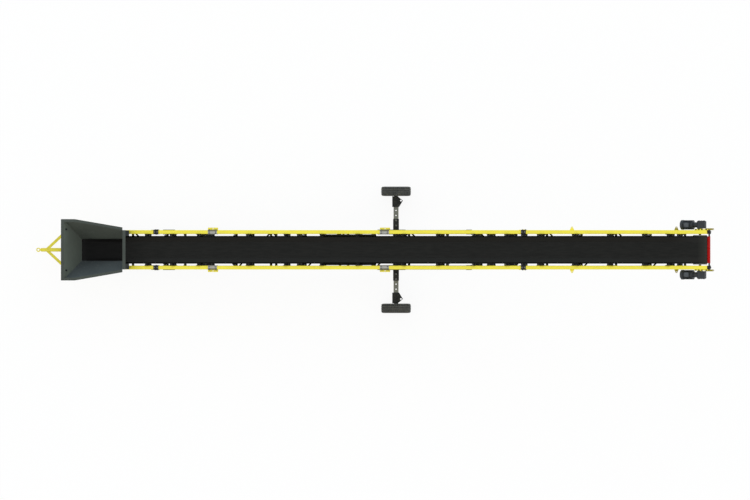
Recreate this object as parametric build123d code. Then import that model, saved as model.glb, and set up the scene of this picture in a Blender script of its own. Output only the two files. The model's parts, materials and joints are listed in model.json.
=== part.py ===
"""Radial stacker conveyor: a straight inclined belt on a lattice frame, carried by a
tail pivot and by a two-wheel undercarriage with telescopic lifting legs.

Millimetres. +X runs from the tail to the discharge head, +Y to the left, +Z up.
The origin is on the ground below the middle of the overall box.
"""

from build123d import *
from math import atan2, cos, degrees, radians, sin, sqrt, tan
import os

# Overall
INCLINE = 18            # slope of the belt, degrees

# Belt and drums, in the sloping frame of the conveyor
TAIL_X = -10700         # tail drum centre
TAIL_Z = 900
HEAD_X = 11693          # head drum centre, in plan
DRUM_R = 250
DRUM_FACE = 1060
DRUM_SHELL = 18
DISC_SET_IN = 60
SHAFT_R = 45
BELT_WIDTH = 1000
BELT_T = 14
TROUGH_FLAT = 590       # width of the flat middle of the trough
TROUGH_ANGLE = 35
TROUGH_DROP = 50        # middle of the trough below the drum's top
TRANSITION = 1000       # length over which the belt turns from flat to trough
SEAT = 0.3              # gap between a roll or drum and the belt

# Lattice frame
CHORD_Y = 639           # centre line of the chords
CHORD = 140             # square chord tube
CHORD_WALL = 6
CHORD_CORNER = 14
TOP_N = 160             # chord centres above the line through the drum centres
BOTTOM_N = -560
CHORD_START = 1320      # along the slope from the tail drum
TOP_END_PAST = 340      # top chords run past the head drum by this
FIRST_PANEL = 1915
LAST_PANEL = 735        # last panel point before the head drum
PANELS = 16
POST = 80               # square web post
POST_WALL = 5
WEB = 60                # square web diagonal
WEB_OFFSET = 112        # diagonal ends from the post's centre line
CROSS = 70              # square cross tube between the bottom chords
BRACE_W = 50
BRACE_T = 45
BRACE_OFFSET = 95

# Idlers
ROLL_R = 54
CENTRE_ROLL = 540
WING_ROLL = 165
WING_START = 25         # wing roll's end from the trough's fold
IDLER_PLATE = 12
IDLER_PLATE_W = 210
IDLER_BASE = 55
IDLER_BASE_N = 25
IDLER_PAST = 150        # first and last idler inside the ends of the trough
# Runs of idlers in plan: first, last and pitch
IDLER_RUNS = ((-8180, -6344, 918), (-4500, -600, 1300), (1055, 9749, 1242))
STUB = 22               # square end of a roll's shaft
RETURN_ROLL = 1060

# Undercarriage
AXLE_X = 750
AXLE_Z = 700
SLEEVE = 210            # square sleeve of the axle
SLEEVE_REACH = 1109
STUB_TUBE = 180         # square telescopic tube in the sleeve
STUB_WALL = 10
STUB_ROOT = 500
PIN_HOLE_R = 22
PIN_PITCH = 182
KINGPIN_Y = 1700
KINGPIN_R = 85
RUN_GAP = 5             # clearance of pieces that move past each other
FIT = 0.05              # radial clearance of a pin in its eye
PIVOT_X = -7873         # pin between the arms and the frame
HANG = 140              # pins hang below the bottom chords by this
LEG_X = 5357            # pin at the top of the lifting legs
LEG_FOOT_RISE = 95      # leg's lower pin above the axle sleeve
PIN_R = 35
EYE_R = 75
ARM_W = 120
ARM_H = 160
ARM_WALL = 8
LEG = 150
LEG_INNER = 120
LEG_WALL = 8
CHEEK = 12

# Wheels
TYRE_R = 535
TYRE_W = 342
WHEEL_Y = 2106
RIM_R = 286

# Tail end, hopper and tow bar
PLATE = 20              # tail side plates
TOW_BEAM_BACK = 480     # rear beam, apex and flange of the tow bar behind the tail drum
BEAM = 150
BEAM_DROP = 375         # beams below the tail drum's centre
BEAM_WALL = 10
TOW_APEX_BACK = 1134
TOW_TUBE = 130
TOW_LEG = 100
TOW_LEG_SPREAD = 540    # legs from the middle plane, at the rear beam
TOW_WALL = 8
TOW_FLANGE_BACK = 1290
RING_R = 75
RING_NECK = 95          # ring's centre behind its flange
RING_BORE_R = 38
RING_T = 40
POST_R = 90
SPIGOT_R = 60
SPIGOT_H = 180
BASE_R = 400
BASE_T = 30
ANCHOR_PCD = 640
ANCHOR_R = 14
BEARING_R = 110
BEARING_T = 60
HOPPER_BACK = 515       # rim behind the tail drum, foot of the rear wall and front edge before it
HOPPER_FOOT = 144
HOPPER_FRONT = 1600
RIM_RISE = 1505
KNEE = 400              # length of the rim that runs straight behind its taper
MOUTH_HALF = 386
SKIRT_N = 360
SIDE_SLOPE = 62
HOPPER_WALL = 10
FRONT_BAR = 110
RIM_LIP = 100           # flat lip round the top edge
FRONT_POST = 130

# Head end
GEAR_Y = 897
GEAR_W = 260
GEAR_L = 300
GEAR_H = 330
GEAR_BACK = 90          # gearbox reaches this far behind the shaft
NECK_R = 95
NECK_L = 150
MOTOR_R = 168
MOTOR_L = 480
COWL_L = 110
COWL_R = 175
BLOCK_L = 240           # pillow block under the chord
EYE_Y = 742
EYE_REACH = 241         # tips of the lifting eyes past the top chords
EYE_T = 25
BLADE_W = 970
BLADE_T = 45
BLADE_TIP = -8          # wiping edge below the drum's centre line, degrees
SCRAPER_S = 300         # carrier tube from the drum's centre, along the slope and below it
SCRAPER_N = -150
SCRAPER_R = 30
KNOB_R = 62
KNOB_W = 70
LUG_REACH = 126
LUG_BASE = 160
LUG_AT = (7085, 10845)          # tie-down lugs, in plan
COLLAR_AT = (-5839, 353)        # splices of the top chords, in plan
COLLAR_L = 345
EAR_L = 380             # ears beside the splices
EAR_W = 80
STRAP_L = 190
STRAP_T = 10
TRAY_FROM_TO = (-1987, 20)

# Undercarriage details
STUB_GAP = 0.3
BRACKET_T = 20
BACK_PLATE = 25
SPINDLE_R = 45
LEG_OUT_L = 3700        # outer leg
LEG_IN_L = 3600         # inner leg
HUB_R = 140
KNUCKLE_BACK = 159      # knuckle plates inside the kingpin
KNUCKLE_NOSE = 111      # their corner ahead of the kingpin housing
KNUCKLE_OUT = 71
KNUCKLE_CUT = 69        # set-back of the plates' front edge at the tyre
COLLAR_END = 120        # stiffener at the outer leg's mouth
COLLAR_T = 12
TIE = 90
ARM_TIES = (0.2, 0.5, 0.8)      # shares of the arms' length
LEG_TIE_BELOW = 900     # inner legs' tie below their top pins

# Lines and frames worked out from the sizes above
SLOPE_COS = cos(radians(INCLINE))
SLOPE_SIN = sin(radians(INCLINE))
SPAN = (HEAD_X - TAIL_X) / SLOPE_COS
SLOPE = Plane(
    origin=(TAIL_X, 0, TAIL_Z),
    x_dir=(SLOPE_COS, 0, SLOPE_SIN),
    z_dir=(-SLOPE_SIN, 0, SLOPE_COS),
)
TOP_END = SPAN + TOP_END_PAST
BELT_R = DRUM_R + BELT_T
CHORD_IN = CHORD_Y - CHORD / 2
CHORD_OUT = CHORD_Y + CHORD / 2
TOP_UNDER = TOP_N - CHORD / 2
TOP_OVER = TOP_N + CHORD / 2
BOTTOM_UNDER = BOTTOM_N - CHORD / 2
BOTTOM_OVER = BOTTOM_N + CHORD / 2
PANEL = (SPAN - FIRST_PANEL - LAST_PANEL) / PANELS
PANEL_POINTS = [FIRST_PANEL + i * PANEL for i in range(PANELS + 1)]
BOTTOM_END = PANEL_POINTS[-1] + POST
WING = (BELT_WIDTH - TROUGH_FLAT) / 2
TROUGH_N = DRUM_R - TROUGH_DROP
PIN_N = BOTTOM_UNDER - HANG


def along_slope(x, n):
    """Distance along the slope of the point at plan position x and height n."""
    return (x - TAIL_X + n * SLOPE_SIN) / SLOPE_COS


def on_slope(s, n):
    """World X and Z of a point of the sloping frame."""
    return (
        TAIL_X + s * SLOPE_COS - n * SLOPE_SIN,
        TAIL_Z + s * SLOPE_SIN + n * SLOPE_COS,
    )


PIVOT_S = along_slope(PIVOT_X, PIN_N)
PIVOT_Z = on_slope(PIVOT_S, PIN_N)[1]
LEG_S = along_slope(LEG_X, PIN_N)
LEG_TOP_Z = on_slope(LEG_S, PIN_N)[1]
LEG_FOOT_Z = AXLE_Z + SLEEVE / 2 + LEG_FOOT_RISE

LEG_RUN = sqrt((LEG_X - AXLE_X) ** 2 + (LEG_TOP_Z - LEG_FOOT_Z) ** 2)
TOW_BEAM_X = TAIL_X - TOW_BEAM_BACK
TOW_APEX_X = TAIL_X - TOW_APEX_BACK
TOW_FLANGE_X = TAIL_X - TOW_FLANGE_BACK
BEAM_Z = TAIL_Z - BEAM_DROP
HOPPER_REAR_X = TAIL_X - HOPPER_BACK
HOPPER_FOOT_X = TAIL_X + HOPPER_FOOT
HOPPER_FRONT_X = TAIL_X + HOPPER_FRONT
RIM_Z = TAIL_Z + RIM_RISE
FRONT_POST_IN = BELT_WIDTH / 2
FLANGE_S = CHORD_START - PLATE
MOUTH_S = along_slope(HOPPER_FOOT_X, SKIRT_N)
MOUTH_Z = on_slope(MOUTH_S, SKIRT_N)[1]
KNEE_X = HOPPER_REAR_X + KNEE
KNEE_Z = MOUTH_Z + (KNEE_X - HOPPER_FOOT_X) * SLOPE_SIN / SLOPE_COS
RIM_HALF = MOUTH_HALF + (RIM_Z - KNEE_Z) / tan(radians(SIDE_SLOPE))


def block(x0, x1, y0, y1, z0, z1):
    """Box between two corners."""
    size = Box(x1 - x0, y1 - y0, z1 - z0)
    return Pos((x0 + x1) / 2, (y0 + y1) / 2, (z0 + z1) / 2) * size


def rod_y(radius, y0, y1, x=0, z=0):
    """Round bar along Y."""
    bar = Rot(X=-90) * Cylinder(radius, y1 - y0)
    return Pos(x, (y0 + y1) / 2, z) * bar


def square_tube(width, height, wall, length, corner=0):
    """Hollow section along +X, centred on the X axis, from x = 0."""
    if corner:
        outer = RectangleRounded(width, height, corner)
        inner = RectangleRounded(width - 2 * wall, height - 2 * wall, max(corner - wall, 1))
    else:
        outer = Rectangle(width, height)
        inner = Rectangle(width - 2 * wall, height - 2 * wall)
    return extrude(Plane.YZ * (outer - inner), length)


def side_plate(points, y, thickness):
    """Plate parallel to the middle plane, from its outline in X and Z."""
    return extrude(Plane.XZ.offset(-y) * Polygon(*points, align=None), thickness, dir=(0, 1, 0))


def lean(x0, z0, x1, z1):
    """Frame whose X axis runs from one point of the XZ plane to another."""
    angle = degrees(atan2(z1 - z0, x1 - x0))
    return Pos(x0, 0, z0) * Rot(Y=-angle)


def mirrored(shape):
    """The same piece on the right-hand side."""
    return mirror(shape, about=Plane.XZ)


def both_sides(shape):
    """A left piece and its mirror image."""
    return [shape, mirrored(shape)]


def group(solids):
    """Separate solids that share a node."""
    return Compound(children=[s for shape in solids for s in shape.solids()])


def belt_section(fold_n, angle):
    """Belt section across the slope: a flat middle and two wings at an angle."""
    half = TROUGH_FLAT / 2
    rise = radians(angle)
    tip_y = half + WING * cos(rise)
    tip_n = fold_n + WING * sin(rise)
    shift = BELT_T * tan(radians(TROUGH_ANGLE) / 2)
    right = [
        (half, fold_n),
        (tip_y, tip_n),
        (tip_y - BELT_T * sin(rise), tip_n + BELT_T * cos(rise)),
        (half - shift, fold_n + BELT_T),
    ]
    left = [(-y, n) for y, n in reversed(right)]
    return Polygon(*right, *left, align=None)


def make_belt():
    """Endless belt: troughed on top, flat over the drums and on the way back."""
    trough_from = TRANSITION
    trough_to = SPAN - TRANSITION
    flat = belt_section(DRUM_R, 0)
    trough = belt_section(TROUGH_N, TROUGH_ANGLE)
    carrying = extrude(Plane.YZ.offset(trough_from) * trough, trough_to - trough_from)
    ends = []
    for flat_s, trough_s in ((0, trough_from), (SPAN, trough_to)):
        sections = [Plane.YZ.offset(s) * section for s, section in ((flat_s, flat), (trough_s, trough))]
        ends.append(loft(sections, ruled=True))
    ring = Circle(BELT_R) - Circle(DRUM_R)
    wraps = []
    for s, side in ((0, -1), (SPAN, 1)):
        half_plane = Pos(side * BELT_R, 0) * Rectangle(2 * BELT_R, 4 * BELT_R)
        wrap = extrude(Plane.XZ * (ring & half_plane), BELT_WIDTH / 2, both=True)
        wraps.append(Pos(s, 0, 0) * wrap)
    back = block(0, SPAN, -BELT_WIDTH / 2, BELT_WIDTH / 2, -BELT_R, -DRUM_R)
    return carrying + ends + wraps + back


def make_drum(s, shaft_reach):
    """Drum with its end discs and shaft, turned as one piece."""
    inside = DRUM_R - DRUM_SHELL
    disc_out = DRUM_FACE / 2 - DISC_SET_IN
    shell = rod_y(DRUM_R - SEAT, -DRUM_FACE / 2, DRUM_FACE / 2) - rod_y(inside, -DRUM_FACE, DRUM_FACE)
    disc = rod_y(inside, disc_out - DRUM_SHELL, disc_out)
    window = rod_y(DRUM_SHELL * 3, 0, DRUM_FACE, (inside + SHAFT_R) / 2)
    disc = disc - [window.rotate(Axis.Y, 60 * i) for i in range(6)]
    hub = rod_y(SHAFT_R + 40, disc_out - 2 * DRUM_SHELL, disc_out + DRUM_SHELL)
    drum = shell + both_sides(disc + hub) + rod_y(SHAFT_R, -shaft_reach, shaft_reach)
    return Pos(s, 0, 0) * drum


def make_chord(n, start, end):
    """Left-hand chord tube of the lattice frame."""
    tube = square_tube(CHORD, CHORD, CHORD_WALL, end - start, CHORD_CORNER)
    return Pos(start, CHORD_Y, n) * tube


def make_posts():
    """Left-hand web posts, one at each panel point."""
    height = TOP_UNDER - BOTTOM_OVER
    tube = Rot(Y=-90) * square_tube(POST, POST, POST_WALL, height)
    return group([Pos(s, CHORD_Y, BOTTOM_OVER) * tube for s in PANEL_POINTS])


def make_webs():
    """Left-hand web diagonals, cut flush with the chords."""
    run = PANEL - 2 * WEB_OFFSET
    rise = TOP_UNDER - BOTTOM_OVER
    length = sqrt(run**2 + rise**2)
    over = 3 * WEB
    tube = Pos(-over, 0, 0) * square_tube(WEB, WEB, POST_WALL, length + 2 * over)
    tube = Rot(Y=-degrees(atan2(rise, run))) * tube
    slab = block(-PANEL, 2 * PANEL, -WEB, WEB, 0, rise)
    diagonal = tube & slab
    starts = PANEL_POINTS[:-1]
    return group([Pos(s + WEB_OFFSET, CHORD_Y, BOTTOM_OVER) * diagonal for s in starts])


def make_cross_tubes():
    """Cross tubes between the bottom chords, one at each panel point."""
    tube = Rot(Z=90) * square_tube(CROSS, CROSS, POST_WALL, 2 * CHORD_IN)
    n = BOTTOM_OVER - CROSS / 2
    return group([Pos(s, -CHORD_IN, n) * tube for s in PANEL_POINTS])


def make_braces():
    """Zigzag of flat braces in the plane of the bottom chords."""
    run = PANEL - 2 * BRACE_OFFSET
    reach = 2 * CHORD_IN
    length = sqrt(run**2 + reach**2) + 4 * BRACE_W
    bar = Rot(Z=degrees(atan2(reach, run))) * Box(length, BRACE_W, BRACE_T)
    slab = Box(2 * PANEL, reach, 2 * BRACE_T)
    rising = bar & slab
    n = BOTTOM_UNDER + BRACE_T / 2
    solids = []
    for i, s in enumerate(PANEL_POINTS[:-1]):
        brace = rising if i % 2 else mirrored(rising)
        solids.append(Pos(s + PANEL / 2, 0, n) * brace)
    return group(solids)


def wing_point(along, below=0):
    """Y and N of a point on the wing's underside, or square below it."""
    rise = radians(TROUGH_ANGLE)
    y = TROUGH_FLAT / 2 + along * cos(rise) + below * sin(rise)
    n = TROUGH_N + along * sin(rise) - below * cos(rise)
    return y, n


def wing_bar(section, start, end):
    """Bar along the axis of the left wing roll between two places on the wing."""
    y, n = wing_point(start, ROLL_R + SEAT)
    return Pos(0, y, n) * Rot(X=TROUGH_ANGLE - 90) * extrude(section, end - start)


def make_idler_rolls(stations):
    """Three rolls for each troughing idler."""
    centre_n = TROUGH_N - SEAT - ROLL_R
    centre = rod_y(ROLL_R, -CENTRE_ROLL / 2, CENTRE_ROLL / 2, 0, centre_n)
    wing = wing_bar(Circle(ROLL_R), WING_START, WING_START + WING_ROLL)
    rolls = [centre, wing, mirrored(wing)]
    return group([Pos(s, 0, 0) * roll for s in stations for roll in rolls])


def make_idler_frames(stations):
    """Welded frames that carry the rolls, bolted to the inner faces of the top chords."""
    plate_in = CHORD_IN - IDLER_PLATE
    centre_n = TROUGH_N - SEAT - ROLL_R
    base_top = IDLER_BASE_N + IDLER_BASE
    half = IDLER_BASE / 2
    base = block(-half, half, -plate_in, plate_in, IDLER_BASE_N, base_top)
    groove = block(-half + 8, half - 8, -plate_in, plate_in, IDLER_BASE_N, base_top - 8)
    base = base - groove
    post_in = CENTRE_ROLL / 2 + 14
    post_out = post_in + IDLER_PLATE
    post = block(-half, half, post_in, post_out, base_top, centre_n + 1.5 * STUB)
    half = STUB / 2
    centre_stub = block(-half, half, CENTRE_ROLL / 2, post_in, centre_n - half, centre_n + half)
    outer_n = wing_point(WING + IDLER_BASE, ROLL_R)[1] + STUB
    plate = side_plate(
        hull_outline(IDLER_PLATE_W, IDLER_BASE_N - 10, TOP_OVER, IDLER_BASE, outer_n), plate_in, IDLER_PLATE
    )
    square = Rectangle(STUB, STUB)
    wing_end = WING_START + WING_ROLL
    inner_run = wing_bar(square, WING_START - 2 * IDLER_BASE, WING_START)
    inner_run = inner_run & block(-STUB, STUB, post_out, CHORD_IN, base_top, TOP_OVER)
    outer_run = wing_bar(square, wing_end, wing_end + 2 * IDLER_BASE)
    outer_run = outer_run & block(-STUB, STUB, 0, plate_in, base_top, outer_n + STUB)
    frame = base
    for piece in (post, centre_stub, plate, inner_run, outer_run):
        frame = frame + both_sides(piece)
    return group([Pos(s, 0, 0) * frame for s in stations])


def hull_outline(wide, low, shoulder, narrow, top):
    """Plate outline: wide below its shoulder and tapering to its top."""
    return [
        (-wide / 2, low),
        (wide / 2, low),
        (wide / 2, shoulder),
        (narrow / 2, top),
        (-narrow / 2, top),
        (-wide / 2, shoulder),
    ]


def make_return_idlers(stations):
    """Flat rolls under the returning belt, and the hangers that carry them."""
    n = -BELT_R - SEAT - ROLL_R
    roll = rod_y(ROLL_R, -RETURN_ROLL / 2, RETURN_ROLL / 2, 0, n)
    hanger = block(-POST / 2, POST / 2, CHORD_IN - IDLER_PLATE, CHORD_IN, BOTTOM_OVER, n + 2 * STUB)
    stub = block(-STUB / 2, STUB / 2, RETURN_ROLL / 2, CHORD_IN - IDLER_PLATE, n - STUB / 2, n + STUB / 2)
    foot_out = CHORD_Y - POST / 2 - RUN_GAP
    foot_in = CHORD_IN - IDLER_PLATE
    foot = block(-POST / 2, POST / 2, foot_in, foot_out, BOTTOM_OVER, BOTTOM_OVER + IDLER_PLATE)
    hanger = hanger + stub + foot
    rolls = group([Pos(s, 0, 0) * roll for s in stations])
    hangers = group([Pos(s, 0, 0) * h for s in stations for h in both_sides(hanger)])
    return rolls, hangers


def slope_point(x, z):
    """Place in the sloping frame of a world point in the middle plane."""
    dx = x - TAIL_X
    dz = z - TAIL_Z
    return dx * SLOPE_COS + dz * SLOPE_SIN, dz * SLOPE_COS - dx * SLOPE_SIN


def make_tail_side():
    """Left side plate of the tail, with the flange that the chords are welded to."""
    beam_low = BEAM_Z - BEAM / 2 - PLATE
    beam_high = BEAM_Z + BEAM / 2 + PLATE
    rear = TOW_BEAM_X - BEAM / 2
    outline = [
        slope_point(rear, beam_high),
        slope_point(rear, beam_low),
        slope_point(TAIL_X + BEAM, beam_low),
        (FLANGE_S, BOTTOM_UNDER),
        (FLANGE_S, TOP_OVER),
        (-DRUM_R, TOP_OVER),
        slope_point(TAIL_X - DRUM_R - BEAM, TAIL_Z),
    ]
    plate = side_plate(outline, CHORD_IN, PLATE)
    plate = plate - rod_y(SHAFT_R + PLATE, CHORD_IN, CHORD_IN + PLATE)
    flange = block(FLANGE_S, CHORD_START, CHORD_IN - PLATE, CHORD_OUT + PLATE / 2,
                   BOTTOM_UNDER - PLATE / 2, TOP_OVER + PLATE / 2)
    return plate + flange


def make_bearing(y, reach):
    """Flanged bearing on the outside of a side plate."""
    body = rod_y(BEARING_R, y, y + PLATE) + rod_y(BEARING_R - 25, y + PLATE, y + reach)
    return body - rod_y(SHAFT_R + SEAT, y, y + reach)


def make_tail_beams():
    """Two cross beams between the tail side plates."""
    tube = Rot(Z=90) * square_tube(BEAM, BEAM, BEAM_WALL, 2 * CHORD_IN)
    return group([Pos(x, -CHORD_IN, BEAM_Z) * tube for x in (TOW_BEAM_X, TAIL_X)])


def make_tow_bar():
    """A-shaped tow bar: a centre tube and two legs, welded to the rear beam."""
    end_x = TOW_BEAM_X - BEAM / 2
    centre = Pos(TOW_FLANGE_X, 0, BEAM_Z) * square_tube(TOW_TUBE, TOW_TUBE, TOW_WALL, end_x - TOW_FLANGE_X)
    run = end_x - TOW_APEX_X
    length = sqrt(run**2 + TOW_LEG_SPREAD**2) + 2 * TOW_LEG
    leg = Rot(Z=degrees(atan2(TOW_LEG_SPREAD, run))) * square_tube(TOW_LEG, TOW_LEG, TOW_WALL, length)
    inside = TOW_TUBE / 2 - TOW_WALL
    room = block(TOW_APEX_X, end_x, inside, 2 * TOW_LEG_SPREAD, BEAM_Z - BEAM, BEAM_Z + BEAM)
    leg = (Pos(TOW_APEX_X, 0, BEAM_Z) * leg) & room
    plate = block(TOW_FLANGE_X - PLATE, TOW_FLANGE_X, -TOW_TUBE / 2, TOW_TUBE / 2,
                  BEAM_Z - TOW_TUBE / 2, BEAM_Z + TOW_TUBE / 2)
    return centre + both_sides(leg) + plate


def make_tow_ring():
    """Forged tow ring on its own flange, bolted to the tow bar."""
    flange_x = TOW_FLANGE_X - 2 * PLATE
    ring_x = flange_x - RING_NECK
    flange = block(flange_x, flange_x + PLATE, -TOW_TUBE / 2, TOW_TUBE / 2,
                   BEAM_Z - TOW_TUBE / 2, BEAM_Z + TOW_TUBE / 2)
    neck = block(ring_x, flange_x, -RING_T, RING_T, BEAM_Z - RING_T / 2, BEAM_Z + RING_T / 2)
    ring = Pos(ring_x, 0, BEAM_Z) * Cylinder(RING_R, RING_T)
    bore = Pos(ring_x, 0, BEAM_Z) * Cylinder(RING_BORE_R, RING_T)
    return ring + neck + flange - bore


def make_pivot_post():
    """Post under the tail beam, bored for the spigot of the base plate."""
    top = BEAM_Z - BEAM / 2
    low = BASE_T + SEAT
    post = Pos(TAIL_X, 0, (top + low) / 2) * Cylinder(POST_R, top - low)
    collar = Pos(TAIL_X, 0, low + PLATE) * Cylinder(POST_R + 40, 2 * PLATE)
    depth = SPIGOT_H + PLATE
    bore = Pos(TAIL_X, 0, low + depth / 2) * Cylinder(SPIGOT_R + FIT, depth)
    return post + collar - bore


def make_base_plate():
    """Round ground plate with a spigot and anchor holes, on which the machine slews."""
    plate = Pos(TAIL_X, 0, BASE_T / 2) * Cylinder(BASE_R, BASE_T)
    spigot = Pos(TAIL_X, 0, BASE_T + SPIGOT_H / 2) * Cylinder(SPIGOT_R, SPIGOT_H)
    holes = [Pos(TAIL_X, 0, BASE_T / 2) * loc * Cylinder(ANCHOR_R, 2 * BASE_T)
             for loc in PolarLocations(ANCHOR_PCD / 2, 4, 45)]
    return plate + spigot - holes


def hopper_form(grow):
    """Solid inside of the hopper's walls, grown outwards by a wall thickness."""
    side = radians(SIDE_SLOPE)
    rear_angle = atan2(RIM_Z - MOUTH_Z, HOPPER_FOOT_X - HOPPER_REAR_X)
    rear = HOPPER_REAR_X - 2 * grow
    half = RIM_HALF + grow
    form = block(rear, HOPPER_FRONT_X, -half, half, MOUTH_Z / 2, RIM_Z)
    slope_line = Vector(SLOPE_COS, 0, SLOPE_SIN)
    for hand in (1, -1):
        up = Vector(0, hand * cos(side), sin(side))
        normal = slope_line.cross(up) * hand
        origin = Vector(HOPPER_FOOT_X, hand * MOUTH_HALF, MOUTH_Z) - normal.normalized() * grow
        form = split(form, Plane(origin=origin, z_dir=normal), keep=Keep.TOP)
    rear_normal = Vector(sin(rear_angle), 0, cos(rear_angle))
    origin = Vector(HOPPER_FOOT_X, 0, MOUTH_Z) - rear_normal * grow
    form = split(form, Plane(origin=origin, z_dir=rear_normal), keep=Keep.TOP)
    low = Vector(*SLOPE.origin) + SLOPE.z_dir * SKIRT_N
    return split(form, Plane(origin=low, z_dir=SLOPE.z_dir), keep=Keep.TOP)


def make_hopper():
    """Rear wall and two side walls of the feed hopper."""
    outer = hopper_form(HOPPER_WALL)
    inner = hopper_form(0)
    rear_angle = atan2(RIM_Z - MOUTH_Z, HOPPER_FOOT_X - HOPPER_REAR_X)
    normal = Vector(sin(rear_angle), 0, cos(rear_angle))
    cut = Plane(origin=(HOPPER_FOOT_X, 0, MOUTH_Z), z_dir=normal)
    rear = split(outer, cut, keep=Keep.BOTTOM)
    sides = split(outer - inner, cut, keep=Keep.TOP)
    left = split(sides, Plane.XZ, keep=Keep.BOTTOM)
    return rear, left, mirrored(left)


def rim_outline(grow):
    """Left edge of the hopper's rim in plan, from the rear to the front."""
    side = tan(radians(SIDE_SLOPE))
    climb = SLOPE_SIN / SLOPE_COS
    front_low = MOUTH_Z + (HOPPER_FRONT_X - HOPPER_FOOT_X) * climb
    front_half = MOUTH_HALF + (RIM_Z - front_low) / side
    return [
        (HOPPER_REAR_X - grow, RIM_HALF + grow),
        (KNEE_X, RIM_HALF + grow),
        (HOPPER_FRONT_X, front_half + grow),
    ]


def make_hopper_rim():
    """Flat bar round the top edge of the hopper, open at the front."""
    def plan(grow):
        left = rim_outline(grow)
        right = [(x, -y) for x, y in reversed(left)]
        return Polygon(*left, *right, align=None)

    inside = Pos(HOPPER_WALL, 0) * plan(0)
    ring = plan(RIM_LIP) - inside
    return extrude(Plane.XY.offset(RIM_Z) * ring, HOPPER_WALL, dir=(0, 0, 1))


def make_front_bar():
    """Cross bar at the front of the hopper, welded to the ends of the side walls."""
    half = rim_outline(0)[-1][1]
    tube = Rot(Z=90) * square_tube(FRONT_BAR, FRONT_BAR, 6, 2 * half)
    x = HOPPER_FRONT_X + FRONT_BAR / 2
    return Pos(x, -half, RIM_Z - FRONT_BAR / 2) * tube


def make_front_posts():
    """Posts that stand on the top chords and carry the front bar."""
    x0 = HOPPER_FRONT_X + FRONT_BAR
    x1 = x0 + FRONT_POST
    wall = HOPPER_WALL
    post = block(x0, x1, FRONT_POST_IN, CHORD_OUT - wall, TAIL_Z, RIM_Z)
    hollow = block(x0 + wall, x1 - wall, FRONT_POST_IN + wall, CHORD_OUT - 2 * wall, TAIL_Z, RIM_Z - wall)
    post = post - hollow
    deck = Vector(*SLOPE.origin) + SLOPE.z_dir * TOP_OVER
    return split(post, Plane(origin=deck, z_dir=SLOPE.z_dir), keep=Keep.TOP)


def make_hopper_gusset():
    """Left plate between the tail side plate and the underside of the hopper."""
    top = SKIRT_N + (CHORD_IN - MOUTH_HALF) * tan(radians(SIDE_SLOPE)) * SLOPE_COS
    foot = slope_point(HOPPER_FOOT_X, MOUTH_Z)
    rim = slope_point(HOPPER_REAR_X, RIM_Z)
    rear_top = foot[0] + (rim[0] - foot[0]) * (top - foot[1]) / (rim[1] - foot[1])
    outline = [(0, TOP_OVER), (FLANGE_S, TOP_OVER), (FLANGE_S, top), (rear_top, top)]
    plate = SLOPE * side_plate(outline, CHORD_IN, PLATE)
    return plate - hopper_form(HOPPER_WALL)


def make_skirts():
    """Rubber skirts that close the gap between the hopper's mouth and the belt."""
    start = MOUTH_S + BEAM
    end = along_slope(HOPPER_FRONT_X, SKIRT_N) + FRONT_BAR
    low = SKIRT_N - 72
    strip = block(start, end, MOUTH_HALF - IDLER_PLATE, MOUTH_HALF, low, SKIRT_N + 60)
    return SLOPE * strip - (hopper_form(HOPPER_WALL) - hopper_form(0))


def make_head_bearing():
    """Left pillow block, hung under the top chord."""
    body = block(-BLOCK_L / 2, BLOCK_L / 2, CHORD_IN + PLATE, CHORD_OUT - PLATE, TOP_UNDER - 30, TOP_UNDER)
    housing = rod_y(BEARING_R - 25, CHORD_IN + PLATE, CHORD_OUT - PLATE)
    neck = block(-BEARING_R + 25, BEARING_R - 25, CHORD_IN + PLATE, CHORD_OUT - PLATE, 0, TOP_UNDER)
    return Pos(SPAN, 0, 0) * (body + neck + housing - rod_y(SHAFT_R + SEAT, CHORD_IN, CHORD_OUT))


def make_gearbox():
    """Left shaft-mounted gearbox with its input neck."""
    face = Pos(GEAR_L / 2 - GEAR_BACK, 0) * RectangleRounded(GEAR_L, GEAR_H, GEAR_W / 3)
    case = extrude(Plane.XZ.offset(GEAR_W / 2 - GEAR_Y) * face, GEAR_W, dir=(0, 1, 0))
    boss = rod_y(SHAFT_R + 50, GEAR_Y - GEAR_W / 2 - 25, GEAR_Y + GEAR_W / 2 + 15)
    neck = Pos(-GEAR_BACK - NECK_L / 2 + 20, GEAR_Y, 0) * Rot(Y=90) * Cylinder(NECK_R, NECK_L + 40)
    bore = rod_y(SHAFT_R + SEAT, GEAR_Y - GEAR_W, GEAR_Y + GEAR_W)
    return Pos(SPAN, 0, 0) * (case + boss + neck - bore)


def make_motor():
    """Left drive motor: finned body, fan cowl and terminal box."""
    front = -GEAR_BACK - NECK_L
    profile = Polygon(
        (front, 0),
        (front, MOTOR_R),
        (front - 30, MOTOR_R),
        (front - 40, MOTOR_R - 22),
        (front - MOTOR_L + COWL_L + 10, MOTOR_R - 22),
        (front - MOTOR_L + COWL_L, COWL_R),
        (front - MOTOR_L + 25, COWL_R),
        (front - MOTOR_L, COWL_R - 35),
        (front - MOTOR_L, 0),
        align=None,
    )
    body = revolve(Plane.XY * profile, Axis.X)
    fin = Box(MOTOR_L - COWL_L - 60, 9, 26)
    middle = front - (MOTOR_L - COWL_L) / 2 - 15
    fins = [Rot(X=angle) * Pos(middle, 0, MOTOR_R - 12) * fin for angle in range(40, 340, 20)]
    terminal = block(middle - 100, middle + 80, -85, 85, MOTOR_R - 40, MOTOR_R + 55)
    return Pos(SPAN, GEAR_Y, 0) * (body + fins + terminal)


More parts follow.
